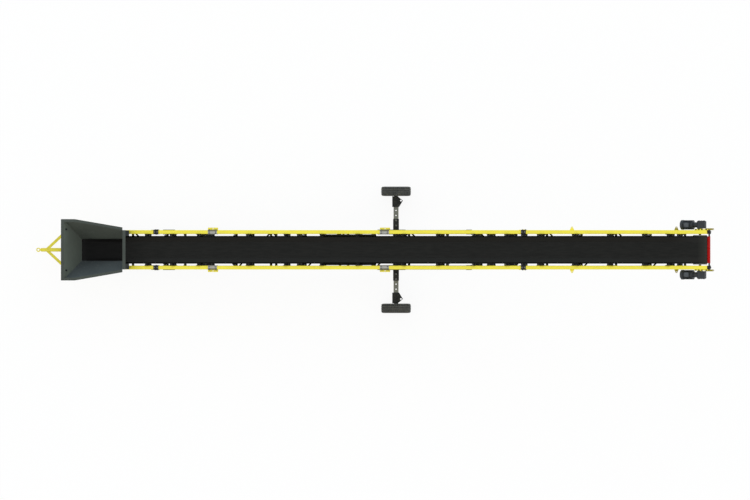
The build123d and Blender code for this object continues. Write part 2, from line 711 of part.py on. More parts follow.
def make_torque_arm():
    """Left arm that keeps the gearbox from turning, between the case and the chord."""
    s = SPAN + GEAR_L - GEAR_BACK - 150
    arm = block(s, s + 60, CHORD_OUT, GEAR_Y - GEAR_W / 2, TOP_UNDER + 5, TOP_UNDER + 45)
    pad = block(s - 30, s + 90, CHORD_OUT, CHORD_OUT + 12, TOP_UNDER, TOP_UNDER + 50)
    return arm + pad


def make_scraper():
    """Belt scraper in front of the head drum: blade, and its carrier with tension knobs."""
    tip = radians(BLADE_TIP)
    tube_s = SPAN + SCRAPER_S
    wipe = BELT_R + SEAT + 1
    tip_s = SPAN + wipe * cos(tip)
    tip_n = wipe * sin(tip)
    blade = side_plate(
        [(tip_s, tip_n), (tip_s + BLADE_T, tip_n), (tube_s + BLADE_T, SCRAPER_N), (tube_s, SCRAPER_N)],
        -BLADE_W / 2, BLADE_W)
    tube = rod_y(SCRAPER_R, -CHORD_Y, CHORD_Y, tube_s, SCRAPER_N)
    blade = blade - rod_y(SCRAPER_R + SEAT, -CHORD_Y, CHORD_Y, tube_s, SCRAPER_N)
    knob = rod_y(KNOB_R, CHORD_Y - KNOB_W, CHORD_Y, tube_s, SCRAPER_N)
    hanger = side_plate(
        [(tube_s - KNOB_R, SCRAPER_N - KNOB_R), (tube_s + KNOB_R, SCRAPER_N - KNOB_R),
         (TOP_END, TOP_UNDER), (TOP_END - BLOCK_L / 2, TOP_UNDER)],
        CHORD_Y, PLATE)
    return blade, tube + both_sides(hanger + knob)


def make_head_eye():
    """Left lifting eye at the head end of the top chord."""
    radius = EYE_Y - CHORD_OUT
    centre_s = TOP_END + EYE_REACH - radius
    low = TOP_N - EYE_T / 2
    root = block(TOP_END - LUG_BASE / 2, centre_s, CHORD_OUT, EYE_Y + radius, low, low + EYE_T)
    nose = Pos(centre_s, EYE_Y, TOP_N) * Cylinder(radius, EYE_T)
    hole = Pos(centre_s, EYE_Y, TOP_N) * Cylinder(radius / 2, 2 * EYE_T)
    return root + nose - hole


def make_splice_ears():
    """Ears on the outer sides of the splice collars, where the frame folds or is tied down."""
    out = CHORD_OUT + STRAP_T
    ear = block(-EAR_L / 2, EAR_L / 2, out, out + EAR_W, TOP_N - PLATE / 2, TOP_N + PLATE / 2)
    ear = ear - Pos(0, out + EAR_W / 2, TOP_N) * Cylinder(EAR_W / 4, 2 * PLATE)
    ears = [Pos(along_slope(x, TOP_N), 0, 0) * ear for x in COLLAR_AT]
    return [side for one in ears for side in both_sides(one)]


def make_lugs(stations):
    """Triangular tie-down lugs on the outer faces of the top chords."""
    outline = Polygon((-LUG_BASE / 2, 0), (LUG_BASE / 2, 0), (22, LUG_REACH), (-22, LUG_REACH), align=None)
    lug = extrude(outline - Pos(0, LUG_REACH - 40) * Circle(16), PLATE)
    lugs = [Pos(s, CHORD_OUT, TOP_N - PLATE / 2) * lug for s in stations]
    return group([side for one in lugs for side in both_sides(one)])


def make_strap(x, length, wall):
    """Left saddle over the top chord, at a place in plan."""
    out = CHORD / 2 + wall
    outer = block(-length / 2, length / 2, -out, out, -CHORD / 2, out)
    strap = outer - Box(2 * length, CHORD, CHORD)
    return Pos(along_slope(x, TOP_N), CHORD_Y, TOP_N) * strap


def make_cheeks(s):
    """Left pair of plates on the sides of the bottom chord, for a pin below it."""
    outline = [
        (s - 1.6 * EYE_R, BOTTOM_N + 40),
        (s + 1.6 * EYE_R, BOTTOM_N + 40),
        (s + EYE_R, PIN_N - EYE_R),
        (s - EYE_R, PIN_N - EYE_R),
    ]
    return [side_plate(outline, y, CHEEK) for y in (CHORD_IN - CHEEK, CHORD_OUT)]


def make_pivot_hanger():
    """Left hanger of an arm: two cheeks and their pin, as one weldment."""
    pin = rod_y(PIN_R, CHORD_IN - 2 * CHEEK, CHORD_OUT + 2 * CHEEK, PIVOT_S, PIN_N)
    inner, outer = make_cheeks(PIVOT_S)
    return inner + outer + pin


def make_leg_bracket():
    """Left bracket for a leg's top eye: cheeks with the heads of the pin."""
    inner, outer = make_cheeks(LEG_S)
    head_in = rod_y(PIN_R + 15, CHORD_IN - 2 * CHEEK, CHORD_IN - CHEEK, LEG_S, PIN_N)
    head_out = rod_y(PIN_R + 15, CHORD_OUT + CHEEK, CHORD_OUT + 2 * CHEEK, LEG_S, PIN_N)
    return group([inner + head_in, outer + head_out])


def make_hose_tray(start, end):
    """Left channel for hoses, hung under the idler frames."""
    low = IDLER_BASE_N - 80
    tray = block(start, end, CHORD_IN - 72, CHORD_IN - 14, low, IDLER_BASE_N)
    return tray - block(start, end, CHORD_IN - 68, CHORD_IN - 18, low + 4, IDLER_BASE_N - 4)


def make_sleeve():
    """Axle sleeve across the machine, with pin holes near its ends."""
    wall = (SLEEVE - STUB_TUBE) / 2 - STUB_GAP
    tube = Rot(Z=90) * square_tube(SLEEVE, SLEEVE, wall, 2 * SLEEVE_REACH)
    tube = Pos(AXLE_X, -SLEEVE_REACH, AXLE_Z) * tube
    holes = []
    for i in range(2):
        y = SLEEVE_REACH - 54 - i * PIN_PITCH
        holes += both_sides(Pos(AXLE_X, y, AXLE_Z) * Cylinder(PIN_HOLE_R, 2 * SLEEVE))
    return tube - holes


def make_stub():
    """Left telescopic axle tube with its row of pin holes and the kingpin housing."""
    end = KINGPIN_Y
    tube = Rot(Z=90) * square_tube(STUB_TUBE, STUB_TUBE, STUB_WALL, end - STUB_ROOT)
    tube = Pos(AXLE_X, STUB_ROOT, AXLE_Z) * tube
    housing = Pos(AXLE_X, KINGPIN_Y, AXLE_Z) * Cylinder(KINGPIN_R, STUB_TUBE + 2 * RUN_GAP)
    stub = tube + housing - Pos(AXLE_X, KINGPIN_Y, AXLE_Z) * Cylinder(KINGPIN_R / 2 + FIT, 2 * SLEEVE)
    holes = [Pos(AXLE_X, SLEEVE_REACH - 54 + i * PIN_PITCH, AXLE_Z) * Cylinder(PIN_HOLE_R, 2 * SLEEVE)
             for i in range(-2, 3)]
    return stub - holes


def make_knuckle():
    """Left wheel bracket: plates above and below the kingpin housing, pin and spindle."""
    back = WHEEL_Y - TYRE_W / 2 - 2 * RUN_GAP
    half = SLEEVE * 0.65
    gap = STUB_TUBE / 2 + 2 * RUN_GAP
    outline = Polygon(
        (-half, KINGPIN_Y - KNUCKLE_BACK),
        (half - BACK_PLATE, KINGPIN_Y - KNUCKLE_BACK),
        (half + KNUCKLE_NOSE, KINGPIN_Y + KNUCKLE_OUT),
        (half - KNUCKLE_CUT, back),
        (-half, back),
        align=None,
    )
    plate = extrude(outline - Pos(half + 40, KINGPIN_Y + KNUCKLE_OUT) * Circle(30), BRACKET_T)
    top = Pos(AXLE_X, 0, AXLE_Z + gap) * plate
    low_outline = Polygon(
        (-half, KINGPIN_Y - KINGPIN_R),
        (half - KNUCKLE_CUT, KINGPIN_Y - KINGPIN_R),
        (half - KNUCKLE_CUT, back),
        (-half, back),
        align=None,
    )
    low = Pos(AXLE_X, 0, AXLE_Z - gap - BRACKET_T) * extrude(low_outline, BRACKET_T)
    spindle_low = TYRE_R - 2 * SPINDLE_R
    front = AXLE_X + half - KNUCKLE_CUT
    top_z = AXLE_Z + gap + BRACKET_T
    wall = block(AXLE_X - half, front, back - BACK_PLATE, back, spindle_low, top_z)
    pin = Pos(AXLE_X, KINGPIN_Y, AXLE_Z) * Cylinder(KINGPIN_R / 2, 2 * (gap + BRACKET_T))
    cap = Pos(AXLE_X, KINGPIN_Y, top_z + 8) * Cylinder(KINGPIN_R * 0.7, 16)
    spindle = rod_y(SPINDLE_R, back, WHEEL_Y + 20, AXLE_X, TYRE_R)
    collar = rod_y(SPINDLE_R + 30, back, back + 20, AXLE_X, TYRE_R)
    return top + low + wall + pin + cap + spindle + collar


def make_arm():
    """Left arm from the pin under the frame to the axle sleeve."""
    run = sqrt((AXLE_X - PIVOT_X) ** 2 + (AXLE_Z - PIVOT_Z) ** 2)
    tube = Pos(EYE_R * 0.6, 0, 0) * square_tube(ARM_W, ARM_H, ARM_WALL, run)
    eye = rod_y(EYE_R, -ARM_W / 2, ARM_W / 2)
    arm = tube + eye - rod_y(PIN_R + FIT, -ARM_W, ARM_W)
    arm = Pos(0, CHORD_Y, 0) * lean(PIVOT_X, PIVOT_Z, AXLE_X, AXLE_Z) * arm
    room = block(PIVOT_X - 2 * EYE_R, AXLE_X - SLEEVE / 2, 0, 2 * CHORD_Y, 0, 2 * PIVOT_Z)
    return arm & room


def make_arm_ties():
    """Cross tubes between the two arms."""
    reach = CHORD_Y - ARM_W / 2
    tube = Rot(Z=90) * square_tube(TIE, TIE, POST_WALL, 2 * reach)
    solids = []
    for share in ARM_TIES:
        x = PIVOT_X + (AXLE_X - PIVOT_X) * share
        z = PIVOT_Z + (AXLE_Z - PIVOT_Z) * share
        solids.append(Pos(x, -reach, z) * tube)
    return group(solids)


def make_leg_foot():
    """Left lug on the axle sleeve for a leg's lower eye: cheeks and pin."""
    top = AXLE_Z + SLEEVE / 2
    inner_y = CHORD_Y - LEG / 2 - RUN_GAP - CHEEK
    outline = [
        (AXLE_X - SLEEVE / 2, top),
        (AXLE_X + SLEEVE / 2, top),
        (AXLE_X + 60, LEG_FOOT_Z + 60),
        (AXLE_X - 60, LEG_FOOT_Z + 60),
    ]
    cheeks = [side_plate(outline, y, CHEEK) for y in (inner_y, CHORD_Y + LEG / 2 + RUN_GAP)]
    pin = rod_y(PIN_R, inner_y - CHEEK, 2 * CHORD_Y - inner_y + CHEEK, AXLE_X, LEG_FOOT_Z)
    return cheeks[0] + cheeks[1] + pin


def leg_frame():
    """Frame of the left leg: X runs up the leg from its lower pin."""
    return Pos(0, CHORD_Y, 0) * lean(AXLE_X, LEG_FOOT_Z, LEG_X, LEG_TOP_Z)


def make_leg_outer():
    """Left outer leg: lower eye and square tube."""
    wall = (LEG - LEG_INNER) / 2 - STUB_GAP
    eye = rod_y(EYE_R, -LEG / 2, LEG / 2)
    tube = Pos(EYE_R * 0.7, 0, 0) * square_tube(LEG, LEG, wall, LEG_OUT_L - EYE_R * 0.7)
    band = LEG + 2 * COLLAR_T
    collar = square_tube(band, band, wall + COLLAR_T, COLLAR_END)
    collar = Pos(LEG_OUT_L - COLLAR_END, 0, 0) * collar
    foot = tube + eye + collar - rod_y(PIN_R + FIT, -LEG, LEG)
    return leg_frame() * foot


def make_leg_inner():
    """Left inner leg: square tube and upper eye."""
    eye_w = LEG_INNER
    tube = square_tube(LEG_INNER, LEG_INNER, LEG_WALL, LEG_IN_L - EYE_R * 0.5)
    tube = Pos(LEG_RUN - LEG_IN_L, 0, 0) * tube
    eye = rod_y(EYE_R, -eye_w / 2, eye_w / 2, LEG_RUN, 0)
    hole = rod_y(PIN_R + FIT, -LEG, LEG, LEG_RUN, 0)
    return leg_frame() * (tube + eye - hole)


def make_leg_tie(along, width):
    """Cross tube between the two legs at a place along them."""
    reach = CHORD_Y - width / 2
    tube = Rot(Z=90) * square_tube(TIE, TIE, POST_WALL, 2 * reach)
    frame = lean(AXLE_X, LEG_FOOT_Z, LEG_X, LEG_TOP_Z)
    return frame * Pos(along, -reach, 0) * tube


# Wheel profiles, as radius against distance from the wheel's middle plane
def ring_of(profile, y, x, z):
    """Solid of revolution about a wheel's axle from a closed profile."""
    face = Plane.XY * Polygon(*[(r, w) for r, w in profile], align=None)
    return Pos(x, y, z) * revolve(face, Axis.Y)


def make_tyre():
    """Left tyre with bulged walls and round shoulders."""
    half = TYRE_W / 2
    bead = RIM_R + SEAT
    tread = TYRE_R - 14
    profile = [
        (bead, -half + 45),
        (bead + 40, -half + 12),
        ((bead + TYRE_R) / 2, -half),
        (tread - 30, -half + 8),
        (TYRE_R - 5, -half + 40),
        (TYRE_R, -half + 75),
        (TYRE_R, half - 75),
        (TYRE_R - 5, half - 40),
        (tread - 30, half - 8),
        ((bead + TYRE_R) / 2, half),
        (bead + 40, half - 12),
        (bead, half - 45),
    ]
    return ring_of(profile, WHEEL_Y, AXLE_X, TYRE_R)


def make_rim():
    """Left rim: drop-centre barrel and a dished disc with hand holes."""
    half = TYRE_W / 2
    disc = 55
    profile = [
        (RIM_R + 22, -half + 22),
        (RIM_R + 22, -half + 8),
        (RIM_R - 14, -half + 8),
        (RIM_R - 14, disc),
        (HUB_R + 70, disc),
        (HUB_R + 10, disc + 35),
        (SPINDLE_R + 30, disc + 35),
        (SPINDLE_R + 30, disc + 49),
        (HUB_R + 16, disc + 49),
        (HUB_R + 76, disc + 14),
        (RIM_R - 14, disc + 14),
        (RIM_R - 14, half - 8),
        (RIM_R + 22, half - 8),
        (RIM_R + 22, half - 22),
        (RIM_R, half - 40),
        (RIM_R, -half + 40),
    ]
    rim = ring_of(profile, WHEEL_Y, AXLE_X, TYRE_R)
    hole = rod_y(26, WHEEL_Y, WHEEL_Y + half, AXLE_X, TYRE_R + HUB_R + 100)
    axis = Axis((AXLE_X, WHEEL_Y, TYRE_R), (0, 1, 0))
    return rim - [hole.rotate(axis, 36 * i) for i in range(10)]


def make_hub():
    """Left hub on the spindle, with its flange behind the disc and its cap outside."""
    disc = 55 + 35
    profile = [
        (SPINDLE_R + FIT, -100),
        (SPINDLE_R + 45, -100),
        (SPINDLE_R + 45, disc - 60),
        (HUB_R, disc - 25),
        (HUB_R, disc),
        (SPINDLE_R + 29, disc),
        (SPINDLE_R + 29, disc + 60),
        (SPINDLE_R + 15, disc + 75),
        (0, disc + 75),
        (0, 40),
        (SPINDLE_R + FIT, 40),
    ]
    return ring_of(profile, WHEEL_Y, AXLE_X, TYRE_R)


def make_parts():
    """Every node of the machine, by name."""
    idlers = [TRANSITION + IDLER_PAST, SPAN - TRANSITION - IDLER_PAST]
    for first, last, pitch in IDLER_RUNS:
        steps = round((last - first) / pitch)
        idlers += [along_slope(first + i * pitch, TOP_N) for i in range(steps + 1)]
    returns = PANEL_POINTS[1::2]
    parts = {}

    def sloped(name, shape):
        parts[name] = SLOPE * shape

    def pair(name, shape):
        parts[name + "_left"] = shape
        parts[name + "_right"] = mirrored(shape)

    sloped("belt", make_belt())
    sloped("tail_drum", make_drum(0, CHORD_IN + PLATE + BEARING_T))
    sloped("head_drum", make_drum(SPAN, GEAR_Y + GEAR_W / 2))
    pair("top_chord", SLOPE * make_chord(TOP_N, CHORD_START, TOP_END))
    pair("bottom_chord", SLOPE * make_chord(BOTTOM_N, CHORD_START, BOTTOM_END))
    pair("web", SLOPE * group([make_posts(), make_webs()]))
    sloped("cross_bracing", group([make_cross_tubes(), make_braces()]))
    rolls, hangers = make_return_idlers(returns)
    sloped("idler_rolls", group([make_idler_rolls(idlers), rolls]))
    sloped("idler_frames", group([make_idler_frames(idlers), hangers]))
    pair("tail_side", SLOPE * make_tail_side())
    bearings = both_sides(make_bearing(CHORD_IN + PLATE, BEARING_T)) + both_sides(make_head_bearing())
    sloped("drum_bearings", group(bearings))
    parts["tail_beams"] = make_tail_beams()
    parts["tow_bar"] = make_tow_bar()
    parts["tow_ring"] = make_tow_ring()
    parts["pivot_post"] = make_pivot_post()
    parts["base_plate"] = make_base_plate()
    rear, left, right = make_hopper()
    parts["hopper_rear"] = rear
    parts["hopper_side_left"] = left
    parts["hopper_side_right"] = right
    parts["hopper_rim"] = make_hopper_rim()
    parts["hopper_front_bar"] = make_front_bar()
    supports = both_sides(make_front_posts()) + both_sides(make_hopper_gusset())
    parts["hopper_supports"] = group(supports)
    parts["hopper_skirts"] = group(both_sides(make_skirts()))
    pair("gearbox", SLOPE * make_gearbox())
    pair("motor", SLOPE * make_motor())
    sloped("torque_arms", group(both_sides(make_torque_arm())))
    blade, carrier = make_scraper()
    sloped("scraper_blade", blade)
    sloped("scraper_frame", carrier)
    lug_at = [along_slope(x, TOP_N) for x in LUG_AT]
    sloped("lifting_lugs", group(both_sides(make_head_eye()) + [make_lugs(lug_at)] + make_splice_ears()))
    collars = [make_strap(x, COLLAR_L, STRAP_T) for x in COLLAR_AT]
    sloped("splice_collars", group([c for one in collars for c in both_sides(one)]))
    straps = [make_strap(x, STRAP_L, STRAP_T) for x in (PIVOT_X, LEG_X)]
    sloped("chord_straps", group([c for one in straps for c in both_sides(one)]))
    sloped("pivot_hangers", group(both_sides(make_pivot_hanger())))
    sloped("leg_brackets", group(both_sides(make_leg_bracket())))
    tray = make_hose_tray(*[along_slope(x, 0) for x in TRAY_FROM_TO])
    sloped("hose_trays", group(both_sides(tray)))

    parts["axle_sleeve"] = make_sleeve()
    pair("arm", make_arm())
    parts["arm_ties"] = make_arm_ties()
    parts["leg_feet"] = group(both_sides(make_leg_foot()))
    parts["legs_outer"] = group(both_sides(make_leg_outer()) + [make_leg_tie(LEG_OUT_L * 0.6, LEG)])
    inner_tie = make_leg_tie(LEG_RUN - LEG_TIE_BELOW, LEG_INNER)
    parts["legs_inner"] = group(both_sides(make_leg_inner()) + [inner_tie])
    pair("axle_stub", make_stub())
    pair("knuckle", make_knuckle())
    pair("tyre", make_tyre())
    pair("rim", make_rim())
    pair("hub", make_hub())
    return parts


if __name__ == "__main__":
    os.makedirs("parts", exist_ok=True)
    for name, shape in make_parts().items():
        export_step(shape, f"parts/{name}.step")
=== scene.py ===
import json
import math

import bpy
from mathutils import Matrix, Vector


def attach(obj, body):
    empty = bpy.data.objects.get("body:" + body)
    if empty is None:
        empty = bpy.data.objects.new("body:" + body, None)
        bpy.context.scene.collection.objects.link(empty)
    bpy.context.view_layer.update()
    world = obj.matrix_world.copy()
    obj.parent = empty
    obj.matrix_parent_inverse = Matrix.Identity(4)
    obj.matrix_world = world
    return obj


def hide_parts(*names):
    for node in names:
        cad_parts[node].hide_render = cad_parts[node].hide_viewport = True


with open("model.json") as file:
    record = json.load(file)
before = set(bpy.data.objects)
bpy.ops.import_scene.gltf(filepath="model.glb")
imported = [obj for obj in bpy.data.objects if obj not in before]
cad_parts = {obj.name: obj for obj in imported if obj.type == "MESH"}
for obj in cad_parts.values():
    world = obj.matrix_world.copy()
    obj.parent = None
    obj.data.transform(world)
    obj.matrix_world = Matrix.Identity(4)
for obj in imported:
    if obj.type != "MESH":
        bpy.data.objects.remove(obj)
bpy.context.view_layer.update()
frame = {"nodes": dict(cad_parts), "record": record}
nodes = frame["nodes"]
sides = {"left": 1, "right": -1}
wheelAxle = (0.75, 2.106, 0.535)  # centre of the left wheel
print("stacker loaded:", len(nodes), "CAD nodes")

# straight-down camera, one picture pixel is 36 mm on the ground
planView = {"pixel": 0.036, "pixelsWide": 750, "middle": 375.2, "offset": -0.0072, "height": 40, "farClip": 300}


def addPlanCamera():
    place = (planView["offset"], planView["offset"], planView["height"])
    bpy.ops.object.camera_add(location=place, rotation=(0, 0, 0))
    lens = bpy.context.object.data
    lens.type = "ORTHO"
    lens.ortho_scale = planView["pixel"] * planView["pixelsWide"]
    lens.clip_end = planView["farClip"]
    bpy.context.scene.camera = bpy.context.object


# soft daylight: a bright sky dome, a little cooler from the left side, and one wide sun almost overhead
daylight = {
    "sky": 0.93, "rightSky": (0.74, 0.70, 0.64), "zenith": (1.0, 1.0, 0.99), "leftSky": (1.08, 1.22, 1.32),
    "skyStops": (0.15, 0.5, 0.85), "sun": 0.25, "sunTilt": (4, -7, 0), "sunWidth": 40,
}


def addDaylight():
    world = bpy.data.worlds.new("softDaylight")
    world.use_nodes = True
    bpy.context.scene.world = world
    tree = world.node_tree
    sky = tree.nodes["Background"]
    place = tree.nodes.new("ShaderNodeTexCoord")
    split = tree.nodes.new("ShaderNodeSeparateXYZ")
    tree.links.new(place.outputs["Generated"], split.inputs[0])
    across = tree.nodes.new("ShaderNodeValToRGB")  # right of the machine, above it, left of it
    stops = across.color_ramp.elements
    right, above, left = daylight["skyStops"]
    stops[0].position, stops[0].color = right, (*daylight["rightSky"], 1)
    stops[1].position, stops[1].color = left, (*daylight["leftSky"], 1)
    stops.new(above).color = (*daylight["zenith"], 1)
    halfway = tree.nodes.new("ShaderNodeMath")  # from -1 to 1, on to 0 to 1
    halfway.operation = "MULTIPLY_ADD"
    halfway.inputs[1].default_value = 0.5
    halfway.inputs[2].default_value = 0.5
    tree.links.new(split.outputs["Y"], halfway.inputs[0])
    tree.links.new(halfway.outputs[0], across.inputs["Fac"])
    tree.links.new(across.outputs["Color"], sky.inputs["Color"])
    sky.inputs["Strength"].default_value = daylight["sky"]
    white = tree.nodes.new("ShaderNodeBackground")
    white.inputs["Color"].default_value = (1, 1, 1, 1)
    ray = tree.nodes.new("ShaderNodeLightPath")
    seen = tree.nodes.new("ShaderNodeMixShader")
    tree.links.new(ray.outputs["Is Camera Ray"], seen.inputs["Fac"])
    tree.links.new(sky.outputs[0], seen.inputs[1])
    tree.links.new(white.outputs[0], seen.inputs[2])
    tree.links.new(seen.outputs[0], tree.nodes["World Output"].inputs["Surface"])
    bpy.ops.object.light_add(type="SUN", rotation=[math.radians(a) for a in daylight["sunTilt"]])
    bpy.context.object.name = "overheadSun"
    bpy.context.object.data.energy = daylight["sun"]
    bpy.context.object.data.angle = math.radians(daylight["sunWidth"])


# pale yard floor, white to the camera with a faint shadow kept
yard = {"size": 240, "drop": 0.002, "colour": (0.99, 0.99, 0.99), "rough": 0.9, "gloss": 0.1, "shadowKept": 0.10}


def addYardFloor():
    bpy.ops.mesh.primitive_plane_add(size=yard["size"], location=(0, 0, -yard["drop"]))
    floor = bpy.context.object
    floor.name = "yardFloor"
    paleYard = bpy.data.materials.new("paleYard")
    paleYard.use_nodes = True
    tree = paleYard.node_tree
    shader = tree.nodes["Principled BSDF"]
    shader.inputs["Base Color"].default_value = (*yard["colour"], 1)
    shader.inputs["Roughness"].default_value = yard["rough"]
    shader.inputs["Specular IOR Level"].default_value = yard["gloss"]
    glow = tree.nodes.new("ShaderNodeEmission")
    ray = tree.nodes.new("ShaderNodeLightPath")
    share = tree.nodes.new("ShaderNodeMath")
    share.operation = "MULTIPLY"
    share.inputs[1].default_value = 1 - yard["shadowKept"]
    both = tree.nodes.new("ShaderNodeMixShader")
    tree.links.new(ray.outputs["Is Camera Ray"], share.inputs[0])
    tree.links.new(share.outputs[0], both.inputs["Fac"])
    tree.links.new(shader.outputs[0], both.inputs[1])
    tree.links.new(glow.outputs[0], both.inputs[2])
    tree.links.new(both.outputs[0], tree.nodes["Material Output"].inputs["Surface"])
    floor.data.materials.append(paleYard)


bpy.context.scene.view_settings.view_transform = "Standard"
addPlanCamera()
addDaylight()
addYardFloor()
print("camera, daylight and floor set")


# small steps that the finishes share, all on Object coordinates
def startFinish(name):
    finish = bpy.data.materials.new(name)
    finish.use_nodes = True
    return finish, finish.node_tree, finish.node_tree.nodes["Principled BSDF"]


def feed(tree, socket, value):
    if isinstance(value, bpy.types.NodeSocket):
        tree.links.new(value, socket)
    elif isinstance(value, tuple):
        socket.default_value = (*value, 1) if len(value) == 3 and len(socket.default_value) == 4 else value
    else:
        socket.default_value = value


def cloud(tree, scale, detail=4, stretch=(1, 1, 1), lean=0):
    place = tree.nodes.new("ShaderNodeTexCoord")
    spread = tree.nodes.new("ShaderNodeMapping")
    spread.inputs["Scale"].default_value = stretch
    spread.inputs["Rotation"].default_value = (0, math.radians(lean), 0)
    noise = tree.nodes.new("ShaderNodeTexNoise")
    noise.inputs["Scale"].default_value = scale
    noise.inputs["Detail"].default_value = detail
    tree.links.new(place.outputs["Object"], spread.inputs[0])
    tree.links.new(spread.outputs[0], noise.inputs["Vector"])
    return noise.outputs["Fac"]


def between(tree, value, low, high, start=0.0, end=1.0):
    spread = tree.nodes.new("ShaderNodeMapRange")
    feed(tree, spread.inputs["Value"], value)
    spread.inputs["From Min"].default_value = low
    spread.inputs["From Max"].default_value = high
    spread.inputs["To Min"].default_value = start
    spread.inputs["To Max"].default_value = end
    return spread.outputs["Result"]


def combine(tree, how, first, second):
    joined = tree.nodes.new("ShaderNodeMath")
    joined.operation = how
    feed(tree, joined.inputs[0], first)
    feed(tree, joined.inputs[1], second)
    return joined.outputs[0]


def layer(tree, share, under, over):
    mix = tree.nodes.new("ShaderNodeMix")
    mix.data_type = "RGBA"
    feed(tree, mix.inputs["Factor"], share)
    feed(tree, mix.inputs["A"], under)
    feed(tree, mix.inputs["B"], over)
    return mix.outputs["Result"]


def placeOf(tree, axis):
    place = tree.nodes.new("ShaderNodeTexCoord")
    split = tree.nodes.new("ShaderNodeSeparateXYZ")
    tree.links.new(place.outputs["Object"], split.inputs[0])
    return split.outputs[axis]


def facing(tree, axis):
    shape = tree.nodes.new("ShaderNodeNewGeometry")
    split = tree.nodes.new("ShaderNodeSeparateXYZ")
    tree.links.new(shape.outputs["Normal"], split.inputs[0])
    return split.outputs[axis]


# how far the normal has to turn before it counts as an edge
edgeFinder = {"samples": 4, "flat": 0.985, "edge": 0.80}


def nearEdges(tree, radius):
    rounded = tree.nodes.new("ShaderNodeBevel")
    rounded.samples = edgeFinder["samples"]
    rounded.inputs["Radius"].default_value = radius
    shape = tree.nodes.new("ShaderNodeNewGeometry")
    match = tree.nodes.new("ShaderNodeVectorMath")
    match.operation = "DOT_PRODUCT"
    tree.links.new(rounded.outputs["Normal"], match.inputs[0])
    tree.links.new(shape.outputs["Normal"], match.inputs[1])
    return between(tree, match.outputs["Value"], edgeFinder["flat"], edgeFinder["edge"])


def bumpy(tree, shader, height, strength, distance):
    bump = tree.nodes.new("ShaderNodeBump")
    bump.inputs["Strength"].default_value = strength
    bump.inputs["Distance"].default_value = distance
    feed(tree, bump.inputs["Height"], height)
    tree.links.new(bump.outputs["Normal"], shader.inputs["Normal"])


def coat(tree, shader, look, colour, rough):
    feed(tree, shader.inputs["Base Color"], colour)
    feed(tree, shader.inputs["Roughness"], rough)
    shader.inputs["Specular IOR Level"].default_value = look["gloss"]
    bumpy(tree, shader, cloud(tree, *look["grain"]), *look["grainBump"])


# painted steel: patchy tone, dust that lies on top, darker spots low down, chips along the edges, and painted shade
# along the edges of the yellow frame
paints = {
    "frameYellow": {"tone": (0.97, 0.85, 0.078), "shade": (0.68, 0.555, 0.032), "chip": (0.16, 0.12, 0.07),
                    "rough": (0.34, 0.50), "gloss": 0.24, "dust": 0.06, "lowDarkening": 0.30, "chips": 0.55, "peel": 0.05,
                    "edgeShade": 0.6},
    "frameBlack": {"tone": (0.020, 0.021, 0.020), "shade": (0.010, 0.010, 0.010), "chip": (0.09, 0.09, 0.085),
                   "rough": (0.42, 0.60), "gloss": 0.12, "dust": 0.04, "lowDarkening": 0.10, "chips": 0.40, "peel": 0.06},
    "wheelBlack": {"tone": (0.028, 0.029, 0.028), "shade": (0.015, 0.015, 0.015), "chip": (0.14, 0.13, 0.12),
                   "rough": (0.36, 0.55), "gloss": 0.22, "dust": 0.10, "lowDarkening": 0.15, "chips": 0.50, "peel": 0.05},
    "slideGrey": {"tone": (0.182, 0.185, 0.154), "shade": (0.130, 0.130, 0.110), "chip": (0.28, 0.27, 0.25),
                  "rough": (0.30, 0.48), "gloss": 0.22, "dust": 0.06, "lowDarkening": 0.12, "chips": 0.60, "peel": 0.03},
    "driveGrey": {"tone": (0.063, 0.068, 0.077), "shade": (0.040, 0.045, 0.052), "chip": (0.13, 0.13, 0.13),
                  "rough": (0.38, 0.56), "gloss": 0.22, "dust": 0.05, "lowDarkening": 0.0, "chips": 0.35, "peel": 0.22},
    "gearGrey": {"tone": (0.036, 0.040, 0.045), "shade": (0.022, 0.025, 0.029), "chip": (0.12, 0.12, 0.12),
                 "rough": (0.40, 0.58), "gloss": 0.20, "dust": 0.05, "lowDarkening": 0.0, "chips": 0.35, "peel": 0.20},
    "lidGrey": {"tone": (0.076, 0.084, 0.094), "shade": (0.058, 0.064, 0.073), "chip": (0.16, 0.16, 0.16),
                "rough": (0.38, 0.54), "gloss": 0.22, "dust": 0.05, "lowDarkening": 0.0, "chips": 0.35, "peel": 0.10},
    "supportGrey": {"tone": (0.020, 0.023, 0.025), "shade": (0.012, 0.014, 0.016), "chip": (0.09, 0.09, 0.09),
                    "rough": (0.42, 0.60), "gloss": 0.12, "dust": 0.04, "lowDarkening": 0.15, "chips": 0.40, "peel": 0.06},
}

# the lugs by the head carry painted shade in the dark olive of their chip colour, those at the splices are as bright as
# the frame
paints["lugYellow"] = {**paints["frameYellow"], "chip": (0.16, 0.125, 0.012), "headLugShade": (10.0, 10.2)}


# what all paints share: scale and detail of each cloud, the span of it that counts, and the tones laid over the paint
weather = {
    "patch": (1.3, 5), "patchSpan": (0.35, 0.68), "even": 0.75,
    "low": (1.3, 0.15), "lowSpots": (5, 6), "lowSpotSpan": (0.35, 0.75), "lowTone": (0.105, 0.092, 0.070),
    "level": (0.5, 1.0), "dust": (9, 6), "dustSpan": (0.45, 0.8), "dustTone": (0.40, 0.36, 0.29),
    "chip": (34, 5), "chipSpan": (0.53, 0.60), "chipReach": 0.007, "shadeReach": 0.030, "lugShadeShare": 0.8,
    "sheen": (6, 6), "sheenSpan": (0.3, 0.7), "peel": (260, 2), "peelDepth": 0.002,
}


